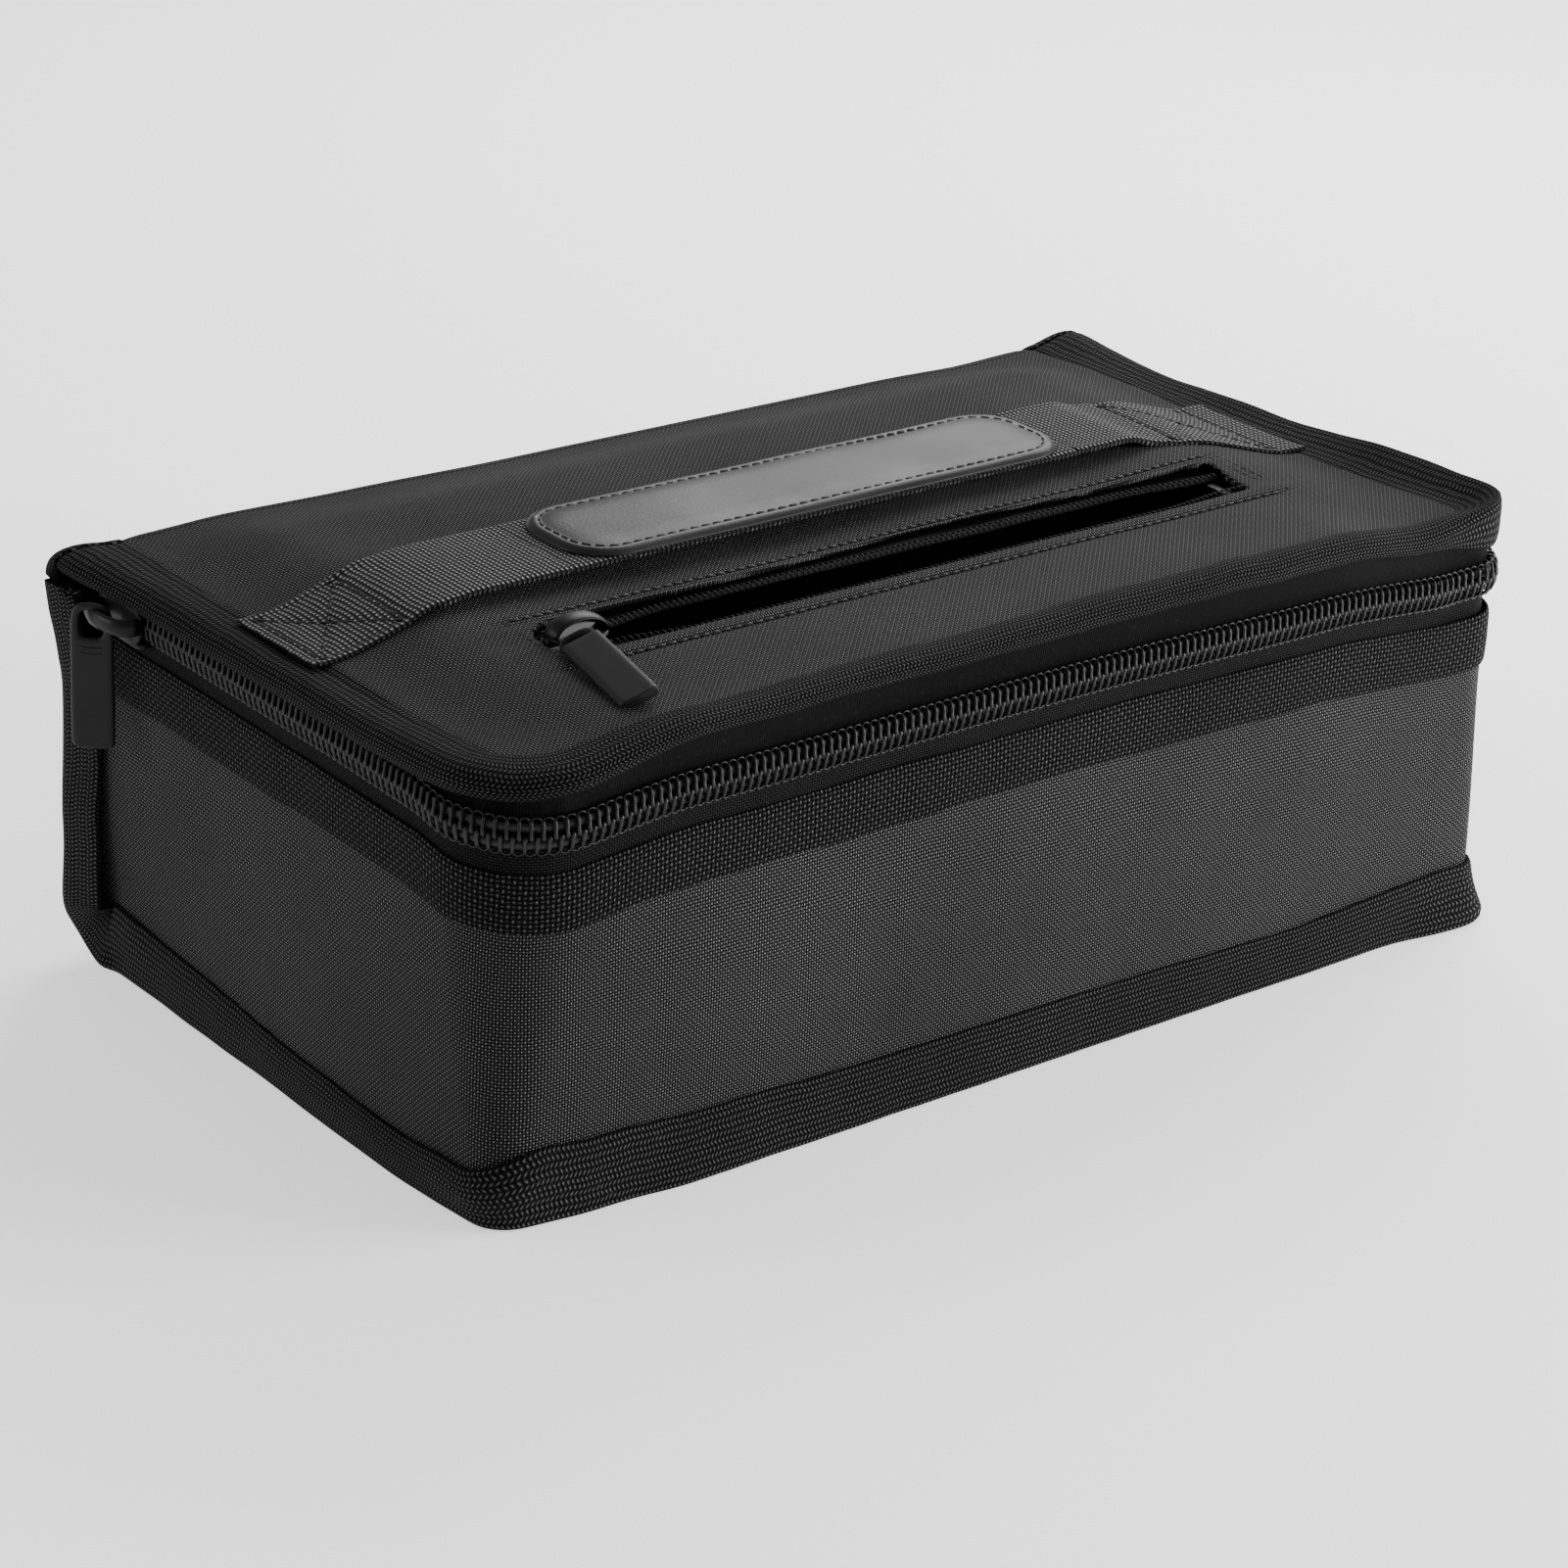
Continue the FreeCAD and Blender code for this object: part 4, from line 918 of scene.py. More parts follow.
def round_corners(x, y, half_x, half_y, radius, rear=True):
    """Moves a point of a square-cornered grid about the origin so that its corners are round."""
    a, b = abs(x) - half_x + radius, abs(y) - half_y + radius
    if a <= 0 or b <= 0 or (y > 0 and not rear):
        return x, y
    reach = max(a, b)
    angle = math.pi / 4 * (b / a) if a >= b else math.pi / 2 - math.pi / 4 * (a / b)
    return (math.copysign(half_x - radius + reach * math.cos(angle), x),
            math.copysign(half_y - radius + reach * math.sin(angle), y))


def cut_grid(bm, cuts):
    """Cuts a flat grid along (place, axis) lines."""
    for place, axis in cuts:
        point = (place, 0, 0) if axis == "x" else (0, place, 0)
        normal = (1, 0, 0) if axis == "x" else (0, 1, 0)
        geometry = bm.verts[:] + bm.edges[:] + bm.faces[:]
        bmesh.ops.bisect_plane(bm, geom=geometry, dist=0.15 * MM, plane_co=point, plane_no=normal)


def flat_grid(half_x, half_y, pitch):
    """A flat sheet about the origin."""
    bm = new_bmesh()
    columns, rows = round(2 * half_x / pitch), round(2 * half_y / pitch)
    bmesh.ops.create_grid(bm, x_segments=columns, y_segments=rows, size=0.5)
    bmesh.ops.scale(bm, vec=(half_x * 2, half_y * 2, 1), verts=bm.verts)
    return bm


def map_flat(bm):
    """Cloth lengths for a sheet that lies flat, or nearly so."""
    along, across = cloth_lengths(bm)
    for vert in bm.verts:
        vert[along], vert[across] = vert.co.x, vert.co.y
    map_cloth(bm)


def double_sheet(bm):
    """Closes a flat sheet with a second one on top, and gives the upper one's vertices."""
    made = bmesh.ops.extrude_face_region(bm, geom=bm.faces[:])["geom"]
    return {item for item in made if isinstance(item, bmesh.types.BMVert)}


def over_slot(face):
    middle = face.calc_center_median()
    return SLOT_LEFT < middle.x < SLOT_RIGHT and abs(middle.y - SLOT_Y) < SLOT_HALF


LID_HALF = HALF_LENGTH - 8 * MM
LID_FRONT = -HALF_DEPTH + 3.5 * MM


def lid_grid(inset, pitch):
    """A flat grid as large as the lid's cloth, less an inset; its callers round its front corners."""
    half_x = LID_HALF - inset
    half_y = (LID_REAR - LID_FRONT) / 2 - inset / 2
    centre = (LID_REAR + LID_FRONT + inset) / 2
    bm = flat_grid(half_x, half_y, pitch)
    return bm, half_x, half_y, centre


def make_lid_cloth():
    """The lid's outer cloth, raised inside its bound edge, with the pocket's opening in it."""
    bm, half_x, half_y, centre = lid_grid(0, 3.8 * MM)
    bmesh.ops.translate(bm, vec=(0, centre, 0), verts=bm.verts)
    cuts = [(SLOT_LEFT, "x"), (SLOT_RIGHT, "x"), (SLOT_LEFT + 4 * MM, "x"), (SLOT_RIGHT - 4 * MM, "x"),
            (SLOT_RIGHT - 1.5 * MM, "x"), (SLOT_RIGHT - 7 * MM, "x")]
    cuts += [(SLOT_Y + side * (SLOT_HALF + off * MM), "y") for side in (-1, 1)
             for off in (0, 0.7, 1.5, 2.6, 3.3, 4.0, 4.7, 5.6)]
    cut_grid(bm, cuts)
    bmesh.ops.delete(bm, geom=[face for face in bm.faces if over_slot(face)], context="FACES")
    for vert in bm.verts:
        x, y, _ = vert.co
        ends = min(x - SLOT_LEFT, SLOT_RIGHT - x)
        off = y - SLOT_Y
        if -0.1 * MM < ends < 8 * MM and abs(off) <= SLOT_HALF + 0.1 * MM:
            pointed = 0.35 if x < 0 else 0.8
            narrow = mix(pointed, 1.0, math.sqrt(1 - (1 - clamp(ends / (8 * MM))) ** 2))
            vert.co.y = SLOT_Y + off * (narrow if off > 0 else mix(narrow, 1.0, 0.75))
        near = clamp(2 - abs(off) / SLOT_HALF)
        lean = math.exp(-((x - SLOT_RIGHT) / (6 * MM)) ** 2) * near
        vert.co.x += 2 * MM * off / SLOT_HALF * lean
        if off > 0:
            vert.co.y += 2.2 * MM * math.exp(-((x - 0.02) / 0.045) ** 2) * smooth(off / SLOT_HALF) * near
        x, y = round_corners(vert.co.x, vert.co.y - centre, half_x, half_y, 11 * MM, rear=False)
        vert.co.x, vert.co.y = x, y + centre
    hem = [edge for edge in bm.edges if edge.is_boundary and near_slot(edge)]
    turned_in = bmesh.ops.extrude_edge_only(bm, edges=hem)["geom"]
    turned_in = {item for item in turned_in if isinstance(item, bmesh.types.BMVert)}
    map_flat(bm)
    for vert in bm.verts:
        x, y, _ = vert.co
        vert.co.z = lid_height(x, y)
        off = abs(y - SLOT_Y) - SLOT_HALF
        if SLOT_LEFT - 6 * MM < x < SLOT_RIGHT + 8 * MM:
            vert.co.z += 0.7 * MM * math.exp(-((off - 0.6 * MM) / (2.6 * MM)) ** 2)
            groove = math.exp(-((off - 4 * MM) / (0.7 * MM)) ** 2)
            if y > SLOT_Y:
                groove += math.exp(-((off - 1.6 * MM) / (0.8 * MM)) ** 2)
            vert.co.z -= 0.75 * MM * groove
        if vert in turned_in:
            vert.co.z -= 1.8 * MM
            vert.co.y += math.copysign(0.5 * MM, y - SLOT_Y)
    piece = make_piece(bm, "lid_cloth", OXFORD, "lid", thick=0.8 * MM, levels=1)
    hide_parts("lid_fabric")


def underside_lift(x, y):
    """The lid's underside rises a little along the front, with the zip."""
    return front_bow(x) * 0.9 * smooth(-y / 0.07 - 0.1)


def make_lid_inside():
    """The lid's foam, which follows its cloth, and the lining under it."""
    bm, half_x, half_y, centre = lid_grid(2 * MM, 6 * MM)
    upper = double_sheet(bm)
    bottom = low("lid_padding").z + 0.2 * MM
    for vert in bm.verts:
        x, y = round_corners(vert.co.x, vert.co.y, half_x, half_y, 12 * MM, rear=False)
        y = min(y + centre, high("lid_padding").y)
        pouch = abs(x) < high("pocket_pouch").x and abs(y) < high("pocket_pouch").y
        top = low("pocket_pouch").z if pouch else lid_height(x, y) - 1.4 * MM
        vert.co = Vector((x, y, top if vert in upper else bottom + underside_lift(x, y)))
    map_flat(bm)
    piece = make_piece(bm, "lid_foam", FOAM, "lid")
    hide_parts("lid_padding")

    half_x, rear = HALF_LENGTH - 1.2 * MM, high("lid_lining").y
    front = -HALF_DEPTH + 1.2 * MM
    centre, half_y = (front + rear) / 2, (rear - front) / 2
    bm = flat_grid(half_x, half_y, 6 * MM)
    for vert in bm.verts:
        x, y = round_corners(vert.co.x, vert.co.y, half_x, half_y, CORNER, rear=False)
        vert.co = Vector((x, y + centre, low("lid_lining").z))
        edge = min(half_x - abs(x), half_y - abs(y))
        quilted = noise.noise(vert.co / 0.03) * 0.5 * MM - 0.4 * MM
        vert.co.z += quilted * smooth(edge / (15 * MM)) + underside_lift(x, y + centre)
    bmesh.ops.reverse_faces(bm, faces=bm.faces)
    map_flat(bm)
    piece = make_piece(bm, "lid_inner_cloth", LINING, "lid", thick=0.7 * MM, levels=1, clean=False)
    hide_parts("lid_lining")


def make_pouch():
    """The flat pouch under the pocket's opening, open at its mouth."""
    pouch_low, pouch_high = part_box("pocket_pouch")
    bm = flat_grid(pouch_high.x, pouch_high.y, 6 * MM)
    upper = double_sheet(bm)
    mouth = [face for face in bm.faces if over_slot(face) and all(vert in upper for vert in face.verts)]
    bmesh.ops.delete(bm, geom=mouth, context="FACES")
    for vert in bm.verts:
        level = pouch_high.z - 1.3 * MM if vert in upper else pouch_low.z + 0.6 * MM
        edge = min(pouch_high.x - abs(vert.co.x), pouch_high.y - abs(vert.co.y))
        slack = noise.noise(vert.co / 0.03) * 0.5 * MM
        vert.co.z = level + slack
        if vert not in upper:
            vert.co.z = mix(level + 2 * MM, level + slack, smooth(edge / (10 * MM)))
    map_flat(bm)
    piece = make_piece(bm, "pocket_bag", POUCH, "lid", thick=0.5 * MM, levels=1)
    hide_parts("pocket_pouch")


def near_slot(edge):
    centre = (edge.verts[0].co + edge.verts[1].co) / 2
    inside_x = SLOT_LEFT - MM < centre.x < SLOT_RIGHT + MM
    return inside_x and abs(centre.y - SLOT_Y) < SLOT_HALF + MM


def make_lid_binding():
    """Tape folded over the lid's free edge, from the cloth over the top and down to its lip."""
    section = [(0.0, index * 2.6 * MM) for index in range(9)]
    bm = sweep(new_bmesh(), section, wall_runs(LID_REAR, 4 * MM, 12), on_lid_edge)
    ripple(bm, 0.4 * MM, 0.012, 7.0)
    map_cloth(bm)
    piece = make_piece(bm, "lid_binding_tape", BINDING, "lid", thick=1.5 * MM, levels=1)
    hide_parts("lid_binding")


FOLD_Z = high("rear_binding_left").z
FOLD_Y = LID_REAR


def make_hinge():
    """The cloth that folds from the back over to the lid, and the binding at its two ends."""
    steps = 8
    radius_y = HALF_DEPTH - FOLD_Y

    def fold(x, out, up, index):
        # its ends run on underneath the binding
        sunk = 0.9 * MM * smooth((abs(x) - HALF_LENGTH + EDGE_COVER) / (2 * MM))
        top = lid_height(x, LID_REAR) - sunk
        if index == 0:
            return Vector((x, LID_REAR - 3 * MM, lid_height(x, LID_REAR - 3 * MM) - 1.1 * MM - sunk))
        if index == 1:
            return Vector((x, LID_REAR - 0.3 * MM, top - 0.1 * MM))
        if index == steps + 3:
            return Vector((x, HALF_DEPTH + 0.1 * MM - sunk, FOLD_Z - 6 * MM))
        turned = math.pi / 2 * (1 - (index - 2) / steps)
        return Vector((x, FOLD_Y + (radius_y + 0.4 * MM - sunk) * math.cos(turned),
                       FOLD_Z + (top - FOLD_Z) * math.sin(turned)))

    places = [fold(0.0, 0.0, 0.0, index) for index in range(steps + 4)]
    section = [(0.0, 0.0)]
    for first, second in zip(places, places[1:]):
        section.append((0.0, section[-1][1] + (second - first).length))
    reach = HALF_LENGTH - 4 * MM
    bm = sweep(new_bmesh(), section, spaced(-reach, reach, 4 * MM), fold)
    map_cloth(bm)
    piece = make_piece(bm, "hinge_cloth", OXFORD, thick=0.8 * MM, levels=1)
    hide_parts("hinge_fold")
    blend_fold(piece)

    for name, side in (("left", -1), ("right", 1)):
        make_corner_fold(name, side)


def blend_fold(piece):
    start = (0, HALF_DEPTH, FOLD_Z + 1.5 * MM)
    end = (0, FOLD_Y + 0.5 * MM, LID_LEVEL)
    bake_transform(piece, "case", "lid", start, end)


def make_corner_fold(name, side):
    """The lid's bound edge rolls over the rear corner and runs on down the rear edge."""
    run = HALF_DEPTH - LID_REAR if side < 0 else WHOLE_RUN - HALF_DEPTH + LID_REAR
    upright = ((-9.8, 5.9), (-6.5, 5.95), (-2, 6.0), (2.6, 6.0), (6.4, 5.4), (8.3, 3.6), (8.0, -0.5),
               (6.8, -5.0), (4.6, -8.4))
    section = [(0.0, index * 2.6 * MM) for index in range(9)]

    def roll(share, out, up, index):
        turned = math.pi / 2 * share
        flat = on_lid_edge(run, 0, 0, index)
        wide = abs(flat.x) - HALF_LENGTH
        rise = flat.z - FOLD_Z
        wide = mix(wide, upright[index][0] * MM, smooth(share))
        rise = mix(rise, upright[index][1] * MM, smooth(share))
        return Vector((side * (HALF_LENGTH + wide), FOLD_Y + rise * math.sin(turned),
                       FOLD_Z + rise * math.cos(turned)))

    bm = sweep(new_bmesh(), section, spaced(0, 1, 0.1), roll)
    along = bm.verts.layers.float["along"]
    for vert in bm.verts:
        vert[along] *= 10 * MM
    ripple(bm, 0.3 * MM, 0.012, 7.0)
    map_cloth(bm)
    piece = make_piece(bm, f"corner_fold_{name}", BINDING, thick=1.4 * MM, levels=1)
    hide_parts(f"binding_fold_{name}")
    blend_fold(piece)


# ---- carry strap and grip --------------------------------------------------------------------

ANCHOR_IN = low("strap_anchor_right").x
CENTRE_END = STRAP_HIGH.x
LEFT_END = -HALF_LENGTH + 4.5 * MM
RIGHT_END = HALF_LENGTH - 6 * MM
BOX_LEFT = (LEFT_END + 3 * MM, -0.1125)
BOX_RIGHT = (0.101, RIGHT_END - 8 * MM)

SEWN_THICK = 0.9 * MM
OVERLAP = 1.6 * MM
GRIP_LIFT = 1 * MM

# Top of the strap where it is clear of the lid, from left to right, in millimetres.
STRAP_TOP = ((-0.112, 104.4), (-0.094, 105.9), (-0.068, 105.8), (0.068, 105.8), (0.086, 105.8),
             (0.096, 104.2))


def strap_lie(x, across):
    """A point of the strap's upper face; it is sewn down to the lid at both ends."""
    skew = -mix(11, 3.5, (1 + across / STRAP_HALF) / 2) * MM * smooth((x - 0.088) / 0.045)
    y = STRAP_Y + across + skew
    sewn = lid_height(x, y) + SEWN_THICK
    free = along_points(STRAP_TOP, x) * MM
    held = smooth((-0.104 - x) / 0.010) + smooth((x - 0.089) / 0.010)
    return Vector((x, y, max(mix(free, sewn, held), sewn)))


def near_line(x, y, start, end):
    """Distance of a point from a line of stitches, in the strap's own plane."""
    direction = Vector(end) - Vector(start)
    share = clamp((Vector((x, y)) - Vector(start)).dot(direction) / direction.length_squared)
    return (Vector((x, y)) - Vector(start) - direction * share).length


def cross_box(left, right):
    """The seams that hold a strap's end: a box with a cross in it."""
    half = STRAP_HALF - 2 * MM
    corners = [(left, -half), (right, -half), (right, half), (left, half)]
    seams = list(zip(corners, corners[1:] + corners[:1]))
    return seams + [(corners[0], corners[2]), (corners[1], corners[3])]


def make_strap_part(name, start, end, body, node, seams=(), thick=STRAP_THICK):
    """A length of webbing, drawn in where seams hold it down."""
    bm = new_bmesh()
    along, across = cloth_lengths(bm)
    pitch = 1.3 * MM if seams else 2.4 * MM
    rows = round(2 * STRAP_HALF / pitch)
    chain = [bm.verts.new() for _ in range(rows + 1)]
    for pair in zip(chain, chain[1:]):
        bm.edges.new(pair)
    count = max(4, round(abs(end - start) / pitch))
    for index in range(count + 1):
        if index:
            chain = extrude_chain(bm, chain, False)
        x = mix(start, end, index / count)
        for row, vert in enumerate(chain):
            side = STRAP_HALF * (2 * row / rows - 1)
            vert.co = strap_lie(x, side)
            for seam in seams:
                vert.co.z -= 0.45 * MM * math.exp(-(near_line(x, side, *seam) / (0.8 * MM)) ** 2)
            edge = (STRAP_HALF - abs(side)) / (2.2 * MM)
            if edge < 1:
                vert.co.z += 0.35 * MM * math.sin(math.pi * edge)
            vert[along] = x
            vert[across] = side
    map_cloth(bm)
    piece = make_piece(bm, name, WEBBING, body, thick=thick, levels=1)
    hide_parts(node)
    return piece


def stitch_mesh(length, radius=0.3 * MM):
    """One stitch of thread, lying along X and sinking into the cloth at its ends."""
    path = [((-0.5, 0, -0.5), 0.7), ((-0.35, 0, 0.15), 1.0), ((0.35, 0, 0.15), 1.0), ((0.5, 0, -0.5), 0.7)]
    path = [(Vector((x * length, 0, z * radius * 2)), thick) for (x, _, z), thick in path]
    bm = bmesh.new()
    wire(bm, path, radius, sides=5)
    return kept_mesh(bm, "stitch")


def add_seam(bm, mesh, points, pitch):
    """Stitches along a run of points."""
    lengths = [(b - a).length for a, b in zip(points, points[1:])]
    whole = sum(lengths)
    for step in range(int(whole / pitch)):
        distance = (step + 0.5) * pitch
        for (a, b), length in zip(zip(points, points[1:]), lengths):
            if distance <= length:
                break
            distance -= length
        middle = a.lerp(b, distance / length)
        turn = (b - a).to_track_quat("X", "Z").to_matrix().to_4x4()
        add_copies(bm, mesh, [Matrix.Translation(middle) @ turn])


def add_straight_seam(bm, mesh, start, end, spacing, pitch, lie):
    """Stitches along a straight line on a sheet; lie(a, b) says where a point of it is."""
    steps = max(2, round(math.dist(start, end) / spacing))
    points = [lie(*Vector(start).lerp(Vector(end), step / steps)) for step in range(steps + 1)]
    add_seam(bm, mesh, points, pitch)


def make_strap():
    """The strap in five pieces, sewn down at its ends, with the seams that hold them."""
    make_strap_part("strap_end_left", LEFT_END, OVERLAP - ANCHOR_IN, "lid", "strap_anchor_left",
                    cross_box(*BOX_LEFT), SEWN_THICK)
    make_strap_part("strap_end_right", ANCHOR_IN - OVERLAP, RIGHT_END, "lid", "strap_anchor_right",
                    cross_box(*BOX_RIGHT), SEWN_THICK)
    for name, side in (("left", -1), ("right", 1)):
        seams = cross_box(*BOX_RIGHT) if side > 0 else ()
        ramp = make_strap_part(f"strap_slope_{name}", side * ANCHOR_IN, side * (CENTRE_END - OVERLAP),
                               None, f"strap_ramp_{name}", seams)
        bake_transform(ramp, "lid", "handle", (side * 0.099, STRAP_Y, 0), (side * CENTRE_END, STRAP_Y, 0))
    make_strap_part("strap_middle", -CENTRE_END, CENTRE_END, "handle", "strap_centre")
    stitch = stitch_mesh(2.1 * MM)

    def on_strap(x, side):
        return strap_lie(x, side) - Vector((0, 0, 0.35 * MM))

    for name, box in (("left", BOX_LEFT), ("right", BOX_RIGHT)):
        bm = bmesh.new()
        for start, end in cross_box(*box):
            add_straight_seam(bm, stitch, start, end, 3 * MM, 2.7 * MM, on_strap)
        piece = make_piece(bm, f"box_seam_{name}", THREAD, "lid", clean=False)
        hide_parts(f"strap_stitch_{name}")


def make_grip():
    """The leather grip round the middle of the strap, with a raised rim and a sewn edge."""
    grip_low, grip_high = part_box("grip")
    half_x, half_y = grip_high.x, (grip_high.y - grip_low.y) / 2
    centre_y = (grip_high.y + grip_low.y) / 2
    corner = 12 * MM

    def stretch(x):
        """The grip's right end reaches a little further out."""
        return 1.03 if x > 0 else 1.0

    bm = flat_grid(half_x, half_y, 1.5 * MM)
    kept = {}
    for vert in bm.verts:
        x, y = vert.co.x, vert.co.y
        kept[vert] = min(half_x - abs(x), half_y - abs(y))
        vert.co.x, vert.co.y = round_corners(x, y, half_x, half_y, corner)

    def top(vert):
        edge = kept[vert]
        rim = 0.35 * MM * math.exp(-((edge - 1.1 * MM) / (0.9 * MM)) ** 2)
        groove = -0.3 * MM * math.exp(-((edge - 3 * MM) / (0.6 * MM)) ** 2)
        full = 0.25 * MM * smooth((edge - 3 * MM) / (5 * MM))
        worn = noise.noise(vert.co / 0.027) * 0.32 * MM * smooth(edge / (4 * MM))
        rolled = edge / (1.1 * MM)
        fall = -1.4 * MM * (1 - math.sqrt(clamp(rolled * (2 - rolled)))) if edge < 1.1 * MM else 0
        return grip_high.z + GRIP_LIFT - 0.35 * MM + rim + groove + full + worn + fall

    heights = {vert: top(vert) for vert in bm.verts}
    upper = double_sheet(bm)
    flat = {}
    for vert, height in heights.items():
        flat[(round(vert.co.x, 6), round(vert.co.y, 6))] = height
    for vert in bm.verts:
        height = flat[(round(vert.co.x, 6), round(vert.co.y, 6))]
        vert.co.z = height if vert in upper else grip_low.z + GRIP_LIFT + 0.05 * MM
        vert.co.y += centre_y
        vert.co.x *= stretch(vert.co.x)
    map_flat(bm)
    piece = make_piece(bm, "grip_leather", LEATHER, "handle", levels=1)
    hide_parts("grip")

    bm = bmesh.new()
    inset = 3 * MM
    ring = []
    for step in range(96):
        turned = 2 * math.pi * step / 96
        reach = corner - inset
        x = math.copysign(half_x - corner, math.cos(turned)) + reach * math.cos(turned)
        y = math.copysign(half_y - corner, math.sin(turned)) + reach * math.sin(turned)
        ring.append(Vector((x * stretch(x), y + centre_y, grip_high.z + GRIP_LIFT - 0.55 * MM)))
    ring.append(ring[0])
    add_seam(bm, stitch_mesh(2.3 * MM), ring, 3.0 * MM)
    piece = make_piece(bm, "grip_seam", THREAD, "handle", clean=False)
    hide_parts("grip_stitch")


# ---- pocket zip ------------------------------------------------------------------------------

POCKET_PITCH = 1.55 * MM


def row_parting(x):
    """How far each row of the open pocket zip lies from where it would close."""
    return along_points(((-0.082, 0.0), (-0.060, 2.7), (0.070, 2.7), (0.094, 0.6)), x) * MM


def make_pocket_zip():
    """The pocket zip's tapes, coils and stop, and the seams round the opening."""
    tape_top = high("pocket_tape_rear").z
    start, end = SLOT_LEFT - 2 * MM, SLOT_RIGHT + 2 * MM
    for name, side in (("front", -1), ("rear", 1)):
        bm = flat_grid((end - start) / 2, 5.2 * MM, 3 * MM)
        for vert in bm.verts:
            x = vert.co.x + (start + end) / 2
            off = vert.co.y + 8.4 * MM
            level = tape_top + noise.noise(Vector((x, off, 0)) / 0.02) * 0.2 * MM
            vert.co = Vector((x, SLOT_Y + side * (off + row_parting(x)), level))
        map_flat(bm)
        bmesh.ops.recalc_face_normals(bm, faces=bm.faces)
        if bm.faces[:][0].normal.z < 0:
            bmesh.ops.reverse_faces(bm, faces=bm.faces)
        piece = make_piece(bm, f"pocket_tape_{name}_cloth", POUCH, "lid", thick=0.5 * MM, levels=1,
                           clean=False)
        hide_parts(f"pocket_tape_{name}")

        path = [((0, 5.4, -0.3), 0.9), ((0, 5.0, 0.8), 1.0), ((0, 4.0, 1.0), 1.0), ((0, 3.1, 0.75), 1.25),
                ((0, 2.7, 0.3), 1.0)]
        path = [(Vector((x, side * out, up)) * MM, thick) for (x, out, up), thick in path]
        tooth = bmesh.new()
        wire(tooth, path, 0.2 * MM, sides=5)
        tooth = kept_mesh(tooth, "pocket_tooth")
        bm = bmesh.new()
        count = int((end - start) / POCKET_PITCH)
        places = []
        for step in range(1, count):
            x = start + (step + 0.25 * side) * POCKET_PITCH
            places.append(Matrix.Translation((x, SLOT_Y + side * row_parting(x), tape_top)))
        add_copies(bm, tooth, places)
        piece = make_piece(bm, f"pocket_coil_{name}_teeth", SMALL_COIL, "lid", clean=False)
        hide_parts(f"pocket_coil_{name}")

    bm = bmesh.new()
    stitch = stitch_mesh(2.1 * MM)
    stop_low, stop_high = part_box("pocket_stop")
    sizes = stop_high - stop_low
    stop = bmesh.new()
    sunk = Matrix.Translation((stop_low + stop_high) / 2 - Vector((0, 0, 2.0 * MM)))
    add_copies(stop, slab((sizes.x, sizes.y, sizes.z), 0.5 * MM, 0.3 * MM, 2), [sunk])
    piece = make_piece(stop, "pocket_end_stop", SMALL_COIL, "lid", clean=False)
    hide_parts("pocket_stop")

    frame_left, frame_right = SLOT_LEFT - 2 * MM, SLOT_RIGHT + 4 * MM
    off = SLOT_HALF + 4 * MM
    corners = [(frame_left, -off), (frame_right, -off), (frame_right + MM, off), (frame_left, off)]
    seams = list(zip(corners, corners[1:] + corners[:1]))
    seams.append(((frame_right + 2.2 * MM, -off), (frame_right + 3.2 * MM, off)))
    seams += [((frame_left, side * off), (frame_left + 7 * MM, side * 2 * MM)) for side in (-1, 1)]

    def on_lid(x, away):
        return Vector((x, SLOT_Y + away, lid_height(x, SLOT_Y + away) - 0.15 * MM))

    for seam_start, seam_end in seams:
        add_straight_seam(bm, stitch, seam_start, seam_end, 5 * MM, 2.8 * MM, on_lid)
    piece = make_piece(bm, "pocket_seam", THREAD, "lid", clean=False)
    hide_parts("pocket_stitch")


# ---- sliders and pulls -----------------------------------------------------------------------

def slab(size, corner, edge, segments=5):
    """A flat bar with round corners and softened edges, centred, as a mesh to copy."""
    bm = bmesh.new()
    bmesh.ops.create_cube(bm, size=1.0)
    bmesh.ops.scale(bm, vec=size, verts=bm.verts)

    def rise(line):
        return abs(line.verts[0].co.z - line.verts[1].co.z)

    bevel = {"profile": 0.5, "affect": "EDGES", "material": -1}
    upright = [line for line in bm.edges if rise(line) > size[2] / 2]
    bmesh.ops.bevel(bm, geom=upright, offset=corner, segments=segments, **bevel)
    rims = [line for line in bm.edges if rise(line) < size[2] / 2]
    bmesh.ops.bevel(bm, geom=rims, offset=edge, segments=2, **bevel)
    return kept_mesh(bm, "slab")


def add_bridge(bm, path, radius, sides, middle, stretch):
    """The bridge that the pull hangs on: a wire over the slider, made broad by a stretch."""
    start = len(bm.verts)
    wire(bm, path, radius, sides=sides)
    bm.verts.ensure_lookup_table()
    bmesh.ops.scale(bm, vec=stretch, space=Matrix.Translation(-middle), verts=bm.verts[start:])


